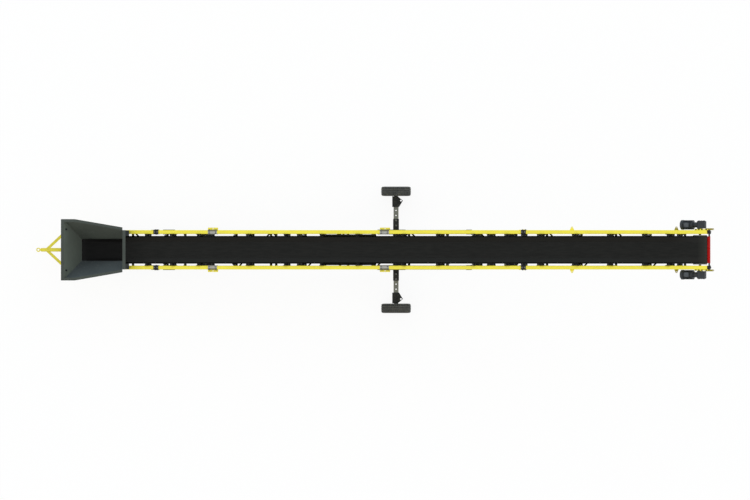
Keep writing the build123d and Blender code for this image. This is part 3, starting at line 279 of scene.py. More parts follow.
def mixPaint(name, look):
    finish, tree, shader = startFinish(name)
    patches = between(tree, cloud(tree, *weather["patch"]), *weather["patchSpan"])
    colour = layer(tree, patches, look["shade"], look["tone"])
    colour = layer(tree, weather["even"], colour, look["tone"])
    # darker brownish spots low down, strongest below 0.15 m and gone above 1.3 m
    low = between(tree, placeOf(tree, "Z"), *weather["low"])
    lowSpotted = between(tree, cloud(tree, *weather["lowSpots"]), *weather["lowSpotSpan"], 0.0, look["lowDarkening"])
    colour = layer(tree, combine(tree, "MULTIPLY", low, lowSpotted), colour, weather["lowTone"])
    level = between(tree, facing(tree, "Z"), *weather["level"])
    lying = combine(tree, "MULTIPLY", level, between(tree, cloud(tree, *weather["dust"]), *weather["dustSpan"]))
    colour = layer(tree, combine(tree, "MULTIPLY", lying, look["dust"]), colour, weather["dustTone"])
    broken = between(tree, cloud(tree, *weather["chip"]), *weather["chipSpan"])
    chips = combine(tree, "MULTIPLY", nearEdges(tree, weather["chipReach"]), broken)
    # painted shade: the edges of the yellow frame darken towards the shade colour, standing in for the shading of the
    # rounded chords
    rimmed = combine(tree, "MULTIPLY", nearEdges(tree, weather["shadeReach"]), look.get("edgeShade", 0))
    colour = layer(tree, rimmed, colour, look["shade"])
    colour = layer(tree, combine(tree, "MULTIPLY", chips, look["chips"]), colour, look["chip"])
    # painted shade: the lugs beyond 10.2 m along X darken to the dark olive chip colour
    if "headLugShade" in look:
        lugShade = between(tree, placeOf(tree, "X"), *look["headLugShade"], 0.0, weather["lugShadeShare"])
        colour = layer(tree, lugShade, colour, look["chip"])
    feed(tree, shader.inputs["Base Color"], colour)
    sheen = cloud(tree, *weather["sheen"])
    feed(tree, shader.inputs["Roughness"], between(tree, sheen, *weather["sheenSpan"], *look["rough"]))
    shader.inputs["Specular IOR Level"].default_value = look["gloss"]
    bumpy(tree, shader, cloud(tree, *weather["peel"]), look["peel"], weather["peelDepth"])
    return finish


# hopper plate: dark grey paint, scoured into streaks where stone slides to the belt
hopperLook = {
    "tone": (0.064, 0.075, 0.065), "shade": (0.050, 0.058, 0.051), "patch": (1.1, 5), "patchSpan": (0.3, 0.7),
    "scour": (0.100, 0.106, 0.098), "runs": (15, 7, (1, 1, 0.06)), "runSpan": (0.52, 0.78), "scourReach": (2.38, 2.0),
    "scourShare": 0.55, "rust": (0.085, 0.060, 0.042), "rustReach": 0.010, "rustSpots": (26, 5),
    "rustSpan": (0.50, 0.58), "rustShare": 0.6, "rough": (0.58, 0.40), "gloss": 0.20,
    "grain": (60, 6, (1, 1, 0.2)), "grainBump": (0.08, 0.003),
    "paler": {"hopperGrey": (1, 1, 1), "leftWallLit": (1.42, 1.42, 1.40), "rightWallLit": (1.16, 1.16, 1.36),
              "rearWallLit": (1.85, 1.85, 1.78)},
}


def mixHopperGrey(name, paler):
    look = hopperLook
    finish, tree, shader = startFinish(name)
    # painted light: the left, right and rear hopper walls are lighter copies of this plate, the right one bluer, for
    # the light each wall catches
    tones = [tuple(map(math.prod, zip(paler, look[tone]))) for tone in ("shade", "tone")]
    colour = layer(tree, between(tree, cloud(tree, *look["patch"]), *look["patchSpan"]), *tones)
    runs = between(tree, cloud(tree, *look["runs"]), *look["runSpan"])
    scoured = combine(tree, "MULTIPLY", runs, between(tree, placeOf(tree, "Z"), *look["scourReach"]))
    colour = layer(tree, combine(tree, "MULTIPLY", scoured, look["scourShare"]), colour, look["scour"])
    spots = between(tree, cloud(tree, *look["rustSpots"]), *look["rustSpan"])
    worn = combine(tree, "MULTIPLY", nearEdges(tree, look["rustReach"]), spots)
    colour = layer(tree, combine(tree, "MULTIPLY", worn, look["rustShare"]), colour, look["rust"])
    coat(tree, shader, look, colour, between(tree, runs, 0, 1, *look["rough"]))
    return finish


# rubber belt: long scuffs along the run, painted light on the wings, painted shadow on the outer edges, painted shade
# inside the hopper, and a painted highlight over the head drum
beltLook = {
    "cover": (0.0110, 0.0113, 0.0104), "band": (0.0148, 0.0148, 0.0135), "scuffs": (7, 7, (0.05, 3.5, 1.2), 18),
    "scuffSpan": (0.38, 0.66), "wing": (0.0172, 0.0168, 0.0152), "wingFrom": (0.27, 0.32), "wingShare": 0.8,
    "edge": (0.004, 0.004, 0.004), "edgeShadowFrom": (0.440, 0.455), "crumb": (0.060, 0.054, 0.045), "crumbs": (75, 4),
    "crumbSpan": (0.66, 0.74), "crumbShare": 0.14, "shadeUnderHopper": (0.003, 0.003, 0.003), "shadeUnderHopperTo": (-8.95, -9.15),
    "shadeUnderHopperShare": 0.75, "highlight": (0.032, 0.032, 0.026), "highlightTo": (11.60, 11.86), "highlightShare": 0.7,
    "rough": (0.62, 0.50), "gloss": 0.09, "grain": (130, 5), "grainBump": (0.10, 0.002),
}


def mixBeltCover():
    look = beltLook
    finish, tree, shader = startFinish("beltCover")
    away = combine(tree, "ABSOLUTE", placeOf(tree, "Y"), 0)
    scuffs = between(tree, cloud(tree, *look["scuffs"]), *look["scuffSpan"])
    colour = layer(tree, scuffs, look["cover"], look["band"])
    # painted light: both wings of the belt are lighter, as the sloped wings catch more of the sky
    colour = layer(tree, between(tree, away, *look["wingFrom"], 0.0, look["wingShare"]), colour, look["wing"])
    # painted shadow: the outer edges go near black, where the return run shows beside the carrying run
    colour = layer(tree, between(tree, away, *look["edgeShadowFrom"]), colour, look["edge"])
    crumbs = between(tree, cloud(tree, *look["crumbs"]), *look["crumbSpan"], 0.0, look["crumbShare"])
    colour = layer(tree, crumbs, colour, look["crumb"])
    # painted shade darkens the belt inside the hopper, and a painted highlight lightens it over the head drum
    for part in ("shadeUnderHopper", "highlight"):
        share = between(tree, placeOf(tree, "X"), *look[part + "To"], 0.0, look[part + "Share"])
        colour = layer(tree, share, colour, look[part])
    coat(tree, shader, look, colour, between(tree, scuffs, 0, 1, *look["rough"]))
    return finish


# tyre rubber: grey and dusty, with painted shade down in the grooves of the tread
tyreLook = {
    "rubber": (0.062, 0.063, 0.060), "worn": (0.092, 0.093, 0.087), "wear": (4, 6), "wearSpan": (0.35, 0.7),
    "dust": (0.17, 0.155, 0.125), "dusty": (13, 7), "dustSpan": (0.50, 0.78), "dustShare": 0.30,
    "groove": (0.012, 0.012, 0.011), "grooveAt": (0.5285, 0.5225), "grooveShare": 0.8, "treadHalf": (0.130, 0.122),
    "sheen": (20, 5), "sheenSpan": (0.3, 0.7), "rough": (0.62, 0.80), "gloss": 0.20, "grain": (150, 5),
    "grainBump": (0.12, 0.002),
}


def mixTyreRubber():
    look = tyreLook
    finish, tree, shader = startFinish("tyreRubber")
    wear = between(tree, cloud(tree, *look["wear"]), *look["wearSpan"])
    colour = layer(tree, wear, look["rubber"], look["worn"])
    dusty = between(tree, cloud(tree, *look["dusty"]), *look["dustSpan"])
    colour = layer(tree, combine(tree, "MULTIPLY", dusty, look["dustShare"]), colour, look["dust"])
    x, y, z = wheelAxle
    forward = combine(tree, "SUBTRACT", placeOf(tree, "X"), x)
    upward = combine(tree, "SUBTRACT", placeOf(tree, "Z"), z)
    squares = [combine(tree, "MULTIPLY", reach, reach) for reach in (forward, upward)]
    radius = combine(tree, "SQRT", combine(tree, "ADD", *squares), 0)
    across = combine(tree, "SUBTRACT", combine(tree, "ABSOLUTE", placeOf(tree, "Y"), 0), y)
    onTread = between(tree, combine(tree, "ABSOLUTE", across, 0), *look["treadHalf"])
    # painted shade: the groove floors of the tread, below radius 0.5285 m, darken
    deep = between(tree, radius, *look["grooveAt"], 0.0, look["grooveShare"])
    colour = layer(tree, combine(tree, "MULTIPLY", deep, onTread), colour, look["groove"])
    sheen = between(tree, cloud(tree, *look["sheen"]), *look["sheenSpan"], *look["rough"])
    coat(tree, shader, look, colour, sheen)
    return finish


# moulded idler rolls: black, worn smoother round the shell, with a painted sheen that lightens those streaks
rollLook = {
    "shell": (0.014, 0.014, 0.015), "paintedSheen": (0.034, 0.034, 0.034), "rubs": (9, 6, (0.6, 6, 0.6)),
    "rubSpan": (0.4, 0.7), "rough": (0.55, 0.34), "gloss": 0.15, "grain": (180, 3), "grainBump": (0.06, 0.001),
}


def mixRollPlastic():
    look = rollLook
    finish, tree, shader = startFinish("rollPlastic")
    highlight = between(tree, cloud(tree, *look["rubs"]), *look["rubSpan"])
    # painted sheen: the worn streaks get a lighter colour as well as a lower roughness
    colour = layer(tree, highlight, look["shell"], look["paintedSheen"])
    coat(tree, shader, look, colour, between(tree, highlight, 0, 1, *look["rough"]))
    return finish


# galvanised and bare steel: zinc flakes, darker streaks
zincLook = {
    "flakes": 55, "dull": (0.135, 0.135, 0.125), "bright": (0.225, 0.225, 0.215), "stain": (0.085, 0.080, 0.070),
    "stains": (5, 6), "stainSpan": (0.5, 0.75), "stainShare": 0.45, "metal": 0.75, "rough": (0.40, 0.56), "gloss": 0.25,
    "grain": (90, 5), "grainBump": (0.05, 0.001),
}


def mixZincSteel():
    look = zincLook
    finish, tree, shader = startFinish("zincSteel")
    place = tree.nodes.new("ShaderNodeTexCoord")
    flakes = tree.nodes.new("ShaderNodeTexVoronoi")
    flakes.inputs["Scale"].default_value = look["flakes"]
    tree.links.new(place.outputs["Object"], flakes.inputs["Vector"])
    tone = between(tree, flakes.outputs["Color"], 0, 1)
    colour = layer(tree, tone, look["dull"], look["bright"])
    stains = between(tree, cloud(tree, *look["stains"]), *look["stainSpan"], 0.0, look["stainShare"])
    colour = layer(tree, stains, colour, look["stain"])
    shader.inputs["Metallic"].default_value = look["metal"]
    coat(tree, shader, look, colour, between(tree, tone, 0, 1, *look["rough"]))
    return finish


# splice collars: dull zinc, with painted shade along their outer and inner sides
collarLook = {
    "dull": (0.36, 0.35, 0.31), "pale": (0.46, 0.45, 0.42), "mottle": (30, 6), "mottleSpan": (0.35, 0.65),
    "outer": (0.130, 0.118, 0.060), "outerFrom": (0.650, 0.685), "outerShare": 0.9,
    "inner": (0.160, 0.150, 0.110), "innerFrom": (0.600, 0.575), "innerShare": 0.7,
    "rough": (0.62, 0.48), "gloss": 0.25, "grain": (90, 5), "grainBump": (0.06, 0.001),
}


def mixCollarZinc():
    look = collarLook
    finish, tree, shader = startFinish("collarZinc")
    away = combine(tree, "ABSOLUTE", placeOf(tree, "Y"), 0)
    mottle = between(tree, cloud(tree, *look["mottle"]), *look["mottleSpan"])
    colour = layer(tree, mottle, look["dull"], look["pale"])
    # painted shade: the collar darkens towards its outer and inner sides, as the sides of a round collar are shaded
    for face in ("outer", "inner"):
        share = between(tree, away, *look[face + "From"], 0.0, look[face + "Share"])
        colour = layer(tree, share, colour, look[face])
    coat(tree, shader, look, colour, between(tree, mottle, 0, 1, *look["rough"]))
    return finish


# red scraper blade: cast plastic, scuffed along its wiping edge
bladeLook = {
    "red": (0.44, 0.005, 0.004), "scuffed": (0.34, 0.006, 0.005), "scuffs": (22, 7, (1, 0.2, 1)),
    "scuffSpan": (0.45, 0.72), "rough": (0.36, 0.58), "gloss": 0.05, "grain": (110, 4), "grainBump": (0.06, 0.002),
}


def mixScraperRed():
    look = bladeLook
    finish, tree, shader = startFinish("scraperRed")
    scuffs = between(tree, cloud(tree, *look["scuffs"]), *look["scuffSpan"])
    colour = layer(tree, scuffs, look["red"], look["scuffed"])
    coat(tree, shader, look, colour, between(tree, scuffs, 0, 1, *look["rough"]))
    return finish


finishes = {name: mixPaint(name, look) for name, look in paints.items()}
for name, paler in hopperLook["paler"].items():
    finishes[name] = mixHopperGrey(name, paler)
for mix in (mixBeltCover, mixTyreRubber, mixRollPlastic, mixZincSteel, mixScraperRed, mixCollarZinc):
    finish = mix()
    finishes[finish.name] = finish

# which finish stands for which slot of the record
slotFinish = {
    "frame_yellow": "frameYellow", "frame_black": "frameBlack", "hopper_grey": "hopperGrey", "belt_rubber": "beltCover",
    "tyre_rubber": "tyreRubber", "rim_paint": "wheelBlack", "roll_plastic": "rollPlastic", "bare_steel": "zincSteel",
    "axle_grey": "slideGrey", "motor_grey": "driveGrey", "blade_red": "scraperRed",
}

# where a node is darker or paler than the rest of its slot; the paler hopper wall finishes are painted light, the
# collar finish carries painted shade on its sides and the lug finish painted shade by the head
nodeFinish = {
    "hopper_supports": "supportGrey", "hopper_rear": "rearWallLit", "hopper_side_left": "leftWallLit",
    "hopper_side_right": "rightWallLit", "splice_collars": "collarZinc", "lifting_lugs": "lugYellow",
    "gearbox_left": "gearGrey", "gearbox_right": "gearGrey", "motor_left": "gearGrey", "motor_right": "gearGrey",
}


def paintNodes():
    for part in frame["record"]["subparts"]:
        mesh = nodes[part["node"]].data
        finish = nodeFinish.get(part["node"], slotFinish[part["material_slot"]])
        mesh.materials.clear()
        mesh.materials.append(finishes[finish])


paintNodes()
print("finishes mixed:", ", ".join(finishes))

# steps of modelling by hand that the pieces share
smoothBelow = {"large": 35, "small": 30, "tyre": 28}  # degrees between faces that still shade as one
squareTo = 0.9  # part of a normal along an axis, above which the face looks that way


def freezePlace():
    bpy.ops.object.transform_apply(location=True, rotation=True, scale=True)


def clearSelection():
    if bpy.context.mode != "OBJECT":
        bpy.ops.object.mode_set(mode="OBJECT")
    bpy.ops.object.select_all(action="DESELECT")


def pickFaces(piece, wanted):
    bpy.context.view_layer.objects.active = piece
    bpy.ops.object.mode_set(mode="EDIT")
    bpy.ops.mesh.select_mode(type="FACE")
    bpy.ops.mesh.select_all(action="DESELECT")
    bpy.ops.object.mode_set(mode="OBJECT")
    for face in piece.data.polygons:
        face.select = wanted(face)
    bpy.ops.object.mode_set(mode="EDIT")


def facesUp(face):
    return face.normal.z > squareTo


def insetSteps(steps):
    for thickness, depth in steps:
        bpy.ops.mesh.inset(thickness=thickness, depth=depth)


def extrudeBy(shift):
    bpy.ops.mesh.extrude_region_move(TRANSFORM_OT_translate={"value": shift})


def turnOutward(piece):
    bpy.context.view_layer.objects.active = piece
    bpy.ops.object.mode_set(mode="EDIT")
    bpy.ops.mesh.select_all(action="SELECT")
    bpy.ops.mesh.normals_make_consistent(inside=False)
    bpy.ops.object.mode_set(mode="OBJECT")


def modelBlock(size, middle=(0, 0, 0)):
    clearSelection()
    bpy.ops.mesh.primitive_cube_add(size=1, location=middle)
    block = bpy.context.object
    block.scale = size
    freezePlace()
    return block


def finishPiece(piece, name, body, finish, size="large"):
    clearSelection()
    piece.select_set(True)
    bpy.context.view_layer.objects.active = piece
    freezePlace()
    bpy.ops.object.shade_smooth_by_angle(angle=math.radians(smoothBelow[size]))
    piece.name = name
    piece.data.name = name
    piece.data.materials.clear()
    piece.data.materials.append(finishes[finish])
    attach(piece, body)
    return piece


def ownCopy(piece):
    twin = piece.copy()
    twin.data = piece.data.copy()
    bpy.context.collection.objects.link(twin)
    return twin


def joinCopies(copies):
    clearSelection()
    for copy in copies:
        copy.select_set(True)
    bpy.context.view_layer.objects.active = copies[0]
    freezePlace()
    bpy.ops.object.join()
    return bpy.context.object


# the belt line: everything on the frame is placed along it, across it and above it
beltLine = {"tail": (-10.7, 0.9), "angle": math.radians(18), "span": 23.5454}


def onFrame(along, across, above):
    run, rise = math.cos(beltLine["angle"]), math.sin(beltLine["angle"])
    x, z = beltLine["tail"]
    return Vector((x + along * run - above * rise, across, z + along * rise + above * run))


def alongAt(x, above):
    return (x - beltLine["tail"][0] + above * math.sin(beltLine["angle"])) / math.cos(beltLine["angle"])


outOfFrame = onFrame(0, 0, 1) - onFrame(0, 0, 0)
upFrame = onFrame(1, 0, 0) - onFrame(0, 0, 0)

# road tyre: one section drawn from bead to bead, spun round the axle, then cut into blocks
tyreShape = {
    "steps": 144,
    "wall": [(0.2865, 0.126), (0.305, 0.138), (0.316, 0.154), (0.328, 0.160), (0.334, 0.1575), (0.372, 0.1675),
             (0.4105, 0.171), (0.448, 0.1690), (0.452, 0.1665), (0.478, 0.1655), (0.495, 0.160)],
    "tread": [(0.509, 0.151), (0.5225, 0.138), (0.5285, 0.126), (0.5325, 0.099), (0.519, 0.096), (0.519, 0.086),
              (0.534, 0.083), (0.535, 0.037), (0.5205, 0.034), (0.5205, 0.024), (0.535, 0.021)],
    "sectionWeld": 0.0001, "spinWeld": 0.0002, "shoulderFrom": 0.50, "shoulder": (0.100, 0.157),
    "ribFrom": 0.5335, "middleRib": 0.021, "sideRib": (0.04, 0.083),
    "blockEvery": 3, "slot": 0.0055, "slotDepth": 0.011, "sipe": 0.0095, "sipeDepth": 0.006,
}


def drawTyreSection():
    half = tyreShape["wall"] + tyreShape["tread"]
    section = half + [(radius, -across) for radius, across in reversed(half)] + half[:1]
    x, y, z = wheelAxle
    points = [Vector((x, y + across, z + radius)) for radius, across in section]
    clearSelection()
    bpy.ops.mesh.primitive_plane_add(location=(0, 0, 0))
    tyre = bpy.context.object
    bpy.ops.object.mode_set(mode="EDIT")
    bpy.ops.mesh.select_mode(type="VERT")
    bpy.ops.mesh.select_all(action="SELECT")
    bpy.ops.mesh.merge(type="CENTER")
    bpy.ops.transform.translate(value=points[0])
    for here, there in zip(points, points[1:]):
        extrudeBy(there - here)
    bpy.ops.mesh.select_all(action="SELECT")
    bpy.ops.mesh.remove_doubles(threshold=tyreShape["sectionWeld"])
    return tyre


def modelTyre():
    tyre = drawTyreSection()
    x, y, z = wheelAxle
    bpy.ops.mesh.select_all(action="SELECT")
    bpy.ops.mesh.spin(steps=tyreShape["steps"], angle=2 * math.pi, center=(x, y, z), axis=(0, 1, 0))
    bpy.ops.mesh.select_all(action="SELECT")
    bpy.ops.mesh.remove_doubles(threshold=tyreShape["spinWeld"])
    bpy.ops.mesh.normals_make_consistent(inside=False)
    step = 2 * math.pi / tyreShape["steps"]

    def blockStep(face):
        return math.floor(math.atan2(face.center.z - z, face.center.x - x) / step) % tyreShape["blockEvery"]

    def radiusOf(face):
        return math.hypot(face.center.z - z, face.center.x - x)

    def onShoulder(face):
        near, far = tyreShape["shoulder"]
        onSide = radiusOf(face) > tyreShape["shoulderFrom"] and near < abs(face.center.y - y) < far
        return onSide and blockStep(face) == 0

    def onRib(face):
        across = abs(face.center.y - y)
        near, far = tyreShape["sideRib"]
        onTop = radiusOf(face) > tyreShape["ribFrom"]
        return onTop and (across < tyreShape["middleRib"] or near < across < far) and blockStep(face) == 1

    pickFaces(tyre, onShoulder)
    bpy.ops.mesh.inset(thickness=tyreShape["slot"], depth=-tyreShape["slotDepth"], use_even_offset=False)
    pickFaces(tyre, onRib)
    bpy.ops.mesh.inset(thickness=tyreShape["sipe"], depth=-tyreShape["sipeDepth"], use_individual=True)
    bpy.ops.object.mode_set(mode="OBJECT")
    return tyre


def addTyres():
    left = modelTyre()
    right = ownCopy(left)
    right.location.y = -2 * wheelAxle[1]
    for side, tyre in (("left", left), ("right", right)):
        finishPiece(tyre, "tyre_tread_" + side, "wheel_" + side, "tyreRubber", "tyre")
        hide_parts("tyre_" + side)


addTyres()
print("tyres spun and cut")

# fasteners: a chamfered hexagon on a washer, with the end of its stud showing on a nut
fasteners = {
    "frameBolt": {"across": 0.036, "height": 0.015, "washer": 0.004, "stud": 0},
    "smallBolt": {"across": 0.022, "height": 0.010, "washer": 0.003, "stud": 0},
    "wheelNut": {"across": 0.032, "height": 0.022, "washer": 0.005, "stud": 0.012},
}
headShape = {"chamfer": 0.16, "studInset": 0.26, "washer": 1.35, "washerSides": 14, "washerEdge": (0.12, 0.25)}


def modelFastener(size):
    clearSelection()
    radius = size["across"] / math.sqrt(3)
    middle = size["washer"] + size["height"] / 2
    bpy.ops.mesh.primitive_cylinder_add(vertices=6, radius=radius, depth=size["height"], location=(0, 0, middle))
    head = bpy.context.object
    freezePlace()
    pickFaces(head, facesUp)
    insetSteps([(radius * headShape["chamfer"], size["height"] * headShape["chamfer"])])
    if size["stud"]:
        insetSteps([(radius * headShape["studInset"], 0)])
        extrudeBy((0, 0, size["stud"]))
    clearSelection()
    bpy.ops.mesh.primitive_cylinder_add(vertices=headShape["washerSides"], radius=radius * headShape["washer"],
                                        depth=size["washer"], location=(0, 0, size["washer"] / 2))
    washer = bpy.context.object
    freezePlace()
    pickFaces(washer, facesUp)
    inward, upward = headShape["washerEdge"]
    insetSteps([(radius * inward, size["washer"] * upward)])
    bpy.ops.object.mode_set(mode="OBJECT")
    return joinCopies([head, washer])


patterns = {name: modelFastener(size) for name, size in fasteners.items()}


def fasten(name, pattern, seats, body, finish="zincSteel"):
    copies = []
    for place, out in seats:
        copy = ownCopy(patterns[pattern])
        turn = Vector(out).to_track_quat("Z", "Y").to_matrix().to_4x4()
        copy.matrix_world = Matrix.Translation(place) @ turn
        copies.append(copy)
    return finishPiece(joinCopies(copies), name, body, finish, "small")


wheelBolts = {"count": 10, "circle": 0.122, "face": 0.104}


def addWheelNuts():
    x, y, z = wheelAxle
    for side, sign in sides.items():
        seats = []
        for i in range(wheelBolts["count"]):
            turn = 2 * math.pi * (i + 0.5) / wheelBolts["count"]
            ahead, above = wheelBolts["circle"] * math.cos(turn), wheelBolts["circle"] * math.sin(turn)
            seats.append(((x + ahead, sign * (y + wheelBolts["face"]), z + above), (0, sign, 0)))
        fasten("wheel_nuts_" + side, "wheelNut", seats, "wheel_" + side)


# bolts of the frame: splice collars, straps, idler plates and bearings
frameBolts = {
    "chordY": 0.639, "chordAbove": 0.160, "chordHalf": 0.070, "strapWall": 0.010,
    "collars": (-5.839, 0.353), "collarBolts": 0.120, "straps": (-7.873, 5.357), "strapBolts": 0.055,
    "idlerRuns": ((-8.180, -6.344, 0.918), (-4.500, -0.600, 1.300), (1.055, 9.749, 1.242)),
    "idlerEnds": (1.150, 22.3954), "idlerPlate": 0.557, "idlerBolts": 0.072,
    "idlerBoltsAbove": 0.185, "collarHalf": 0.038, "sideSpread": 1.15, "tailBearing": (0.609, 0.097),
    "headBlock": (0.095, 0.060),
}


def idlerStations():
    stations = list(frameBolts["idlerEnds"])
    for first, last, pitch in frameBolts["idlerRuns"]:
        for i in range(round((last - first) / pitch) + 1):
            stations.append(alongAt(first + i * pitch, frameBolts["chordAbove"]))
    return stations


def addFrameBolts():
    look = frameBolts
    top = look["chordAbove"] + look["chordHalf"] + look["strapWall"]
    out = look["chordY"] + look["chordHalf"] + look["strapWall"]
    saddles, plates, bearings = [], [], []
    for sign in sides.values():
        for x in look["collars"]:
            for shift in (-look["collarBolts"], look["collarBolts"]):
                along = alongAt(x, look["chordAbove"]) + shift
                for aside in (-look["collarHalf"], look["collarHalf"]):
                    above = look["chordAbove"] + look["sideSpread"] * aside
                    saddles.append((onFrame(along, sign * (look["chordY"] + aside), top), outOfFrame))
                    saddles.append((onFrame(along, sign * out, above), (0, sign, 0)))
        for x in look["straps"]:
            for shift in (-look["strapBolts"], look["strapBolts"]):
                along = alongAt(x, look["chordAbove"]) + shift
                saddles.append((onFrame(along, sign * look["chordY"], top), outOfFrame))
                saddles.append((onFrame(along, sign * out, look["chordAbove"]), (0, sign, 0)))
        for along in idlerStations():
            for shift in (-look["idlerBolts"], look["idlerBolts"]):
                place = onFrame(along + shift, sign * look["idlerPlate"], look["idlerBoltsAbove"])
                plates.append((place, (0, -sign, 0)))
        face, circle = look["tailBearing"]
        for i in range(4):
            turn = math.pi / 4 + i * math.pi / 2
            bearings.append((onFrame(circle * math.cos(turn), sign * face, circle * math.sin(turn)), (0, sign, 0)))
        reach, under = look["headBlock"]
        for shift in (-reach, reach):
            bearings.append((onFrame(beltLine["span"] + shift, sign * look["chordY"], under), -outOfFrame))
    fasten("saddle_bolts", "frameBolt", saddles, "conveyor")
    fasten("idler_bolts", "smallBolt", plates, "conveyor")
    fasten("bearing_bolts", "smallBolt", bearings, "conveyor")


# axle: lock pins through the sleeve, bolts through the knuckle plates
axleFittings = {
    "x": wheelAxle[0], "sleeveTop": 0.805, "pins": (1.055, 0.873), "plateTop": 0.820, "plateBolts": (1.609, 1.782),
}
lockPin = {
    "sides": 20, "flange": (0.032, 0.012), "head": ((0.004, 0.003), (0.010, -0.002)), "grip": 0.016,
    "gripRim": ((0.003, 0.002),), "shank": ((0.012, 0),), "shankLong": 0.012,
}


def modelLockPin():
    radius, thick = lockPin["flange"]
    clearSelection()
    bpy.ops.mesh.primitive_cylinder_add(vertices=lockPin["sides"], radius=radius, depth=thick,
                                        location=(0, 0, thick / 2))
    pin = bpy.context.object
    freezePlace()
    pickFaces(pin, facesUp)
    insetSteps(lockPin["head"])
    extrudeBy((0, 0, lockPin["grip"]))
    insetSteps(lockPin["gripRim"])
    pickFaces(pin, lambda face: face.normal.z < -squareTo)
    insetSteps(lockPin["shank"])
    extrudeBy((0, 0, -lockPin["shankLong"]))
    bpy.ops.object.mode_set(mode="OBJECT")
    return pin


patterns["lockPin"] = modelLockPin()


def addAxleFittings():
    look = axleFittings
    up = (0, 0, 1)
    pins = [((look["x"], sign * y, look["sleeveTop"]), up) for sign in sides.values() for y in look["pins"]]
    fasten("lock_pins", "lockPin", pins, "undercarriage")
    for side, sign in sides.items():
        seats = [((look["x"], sign * y, look["plateTop"]), up) for y in look["plateBolts"]]
        fasten("knuckle_bolts_" + side, "frameBolt", seats, "swivel_" + side, "frameBlack")


# drives: cover and bolts on the gearbox, louvred fan cover and terminal lid with screws on the motor
driveFittings = {
    "centreY": 0.897, "coverFace": 1.027, "coverAlong": 0.060, "cover": (0.252, 0.282, 0.014), "corner": 0.070,
    "cornerSteps": 7, "coverSteps": ((0.004, 0.003), (0.030, 0), (0.006, 0.006)), "coverBolts": (0.10608, 0.12064),
    "boltCount": 8, "fanAlong": 0.720, "fanRadius": 0.137, "fanSides": 40, "fanThick": 0.006, "louvres": 6,
    "louvre": ((0.009, 0), (0.003, -0.007), (0.005, 0), (0.003, 0.007)), "lidAlong": 0.450, "lidAbove": 0.223,
    "lid": (0.174, 0.164, 0.006), "lidLip": (0.003, 0.002), "lidScrews": (0.068, 0.064),
}


def modelGearCover():
    look = driveFittings
    cover = modelBlock(look["cover"])
    bpy.ops.object.mode_set(mode="EDIT")
    bpy.ops.mesh.select_mode(type="EDGE")
    bpy.ops.mesh.select_all(action="DESELECT")
    bpy.ops.object.mode_set(mode="OBJECT")
    for edge in cover.data.edges:
        one, two = (cover.data.vertices[v].co for v in edge.vertices)
        edge.select = abs(one.z - two.z) > look["cover"][2] / 2
    bpy.ops.object.mode_set(mode="EDIT")
    bpy.ops.mesh.bevel(offset=look["corner"], segments=look["cornerSteps"], affect="EDGES")
    pickFaces(cover, facesUp)
    insetSteps(look["coverSteps"])
    bpy.ops.object.mode_set(mode="OBJECT")
    return cover


def modelFanCover():
    look = driveFittings
    clearSelection()
    bpy.ops.mesh.primitive_circle_add(vertices=look["fanSides"], radius=look["fanRadius"], fill_type="NGON")
    grille = bpy.context.object
    pickFaces(grille, lambda face: True)
    extrudeBy((0, 0, look["fanThick"]))
    insetSteps(look["louvre"] * look["louvres"])
    turnOutward(grille)
    return grille


def modelLid():
    lid = modelBlock(driveFittings["lid"])
    pickFaces(lid, facesUp)
    insetSteps([driveFittings["lidLip"]])
    bpy.ops.object.mode_set(mode="OBJECT")
    return lid


def frameTurn(zAxis, xAxis):
    z, x = Vector(zAxis).normalized(), Vector(xAxis).normalized()
    return Matrix((x, z.cross(x), z)).transposed().to_4x4()


def addDriveFittings():
    look = driveFittings
    cover, fan, lid = modelGearCover(), modelFanCover(), modelLid()
    coverTop = look["coverFace"] + look["cover"][2] + look["coverSteps"][0][1]
    lidTop = look["lid"][2] / 2 + look["lidLip"][1]
    screws, bolts = [], []
    for side, sign in sides.items():
        coverAt = onFrame(beltLine["span"] + look["coverAlong"], sign * (look["coverFace"] + look["cover"][2] / 2), 0)
        fanAt = onFrame(beltLine["span"] - look["fanAlong"], sign * look["centreY"], 0)
        lidAbove = look["lidAbove"] + look["lid"][2] / 2
        lidAt = onFrame(beltLine["span"] - look["lidAlong"], sign * look["centreY"], lidAbove)
        for pattern, name, finish, place, turn in (
                (cover, "gear_cover_", "gearGrey", coverAt, frameTurn((0, sign, 0), upFrame)),
                (fan, "fan_cover_", "driveGrey", fanAt, frameTurn(-upFrame, outOfFrame)),
                (lid, "terminal_lid_", "lidGrey", lidAt, frameTurn(outOfFrame, upFrame))):
            copy = ownCopy(pattern)
            copy.matrix_world = Matrix.Translation(place) @ turn
            finishPiece(copy, name + side, "conveyor", finish)
        for i in range(look["boltCount"]):
            turn = 2 * math.pi * (i + 0.5) / look["boltCount"]
            along = beltLine["span"] + look["coverAlong"] + look["coverBolts"][0] * math.cos(turn)
            bolts.append((onFrame(along, sign * coverTop, look["coverBolts"][1] * math.sin(turn)), (0, sign, 0)))
        ahead, aside = look["lidScrews"]
        for along, across in ((ahead, aside), (ahead, -aside), (-ahead, aside), (-ahead, -aside)):
            screws.append((lidAt + along * upFrame + Vector((0, across, 0)) + lidTop * outOfFrame, outOfFrame))
    fasten("gear_cover_bolts", "smallBolt", bolts, "conveyor")
    fasten("lid_screws", "smallBolt", screws, "conveyor", "driveGrey")
    for pattern in (cover, fan, lid):
        bpy.data.objects.remove(pattern)


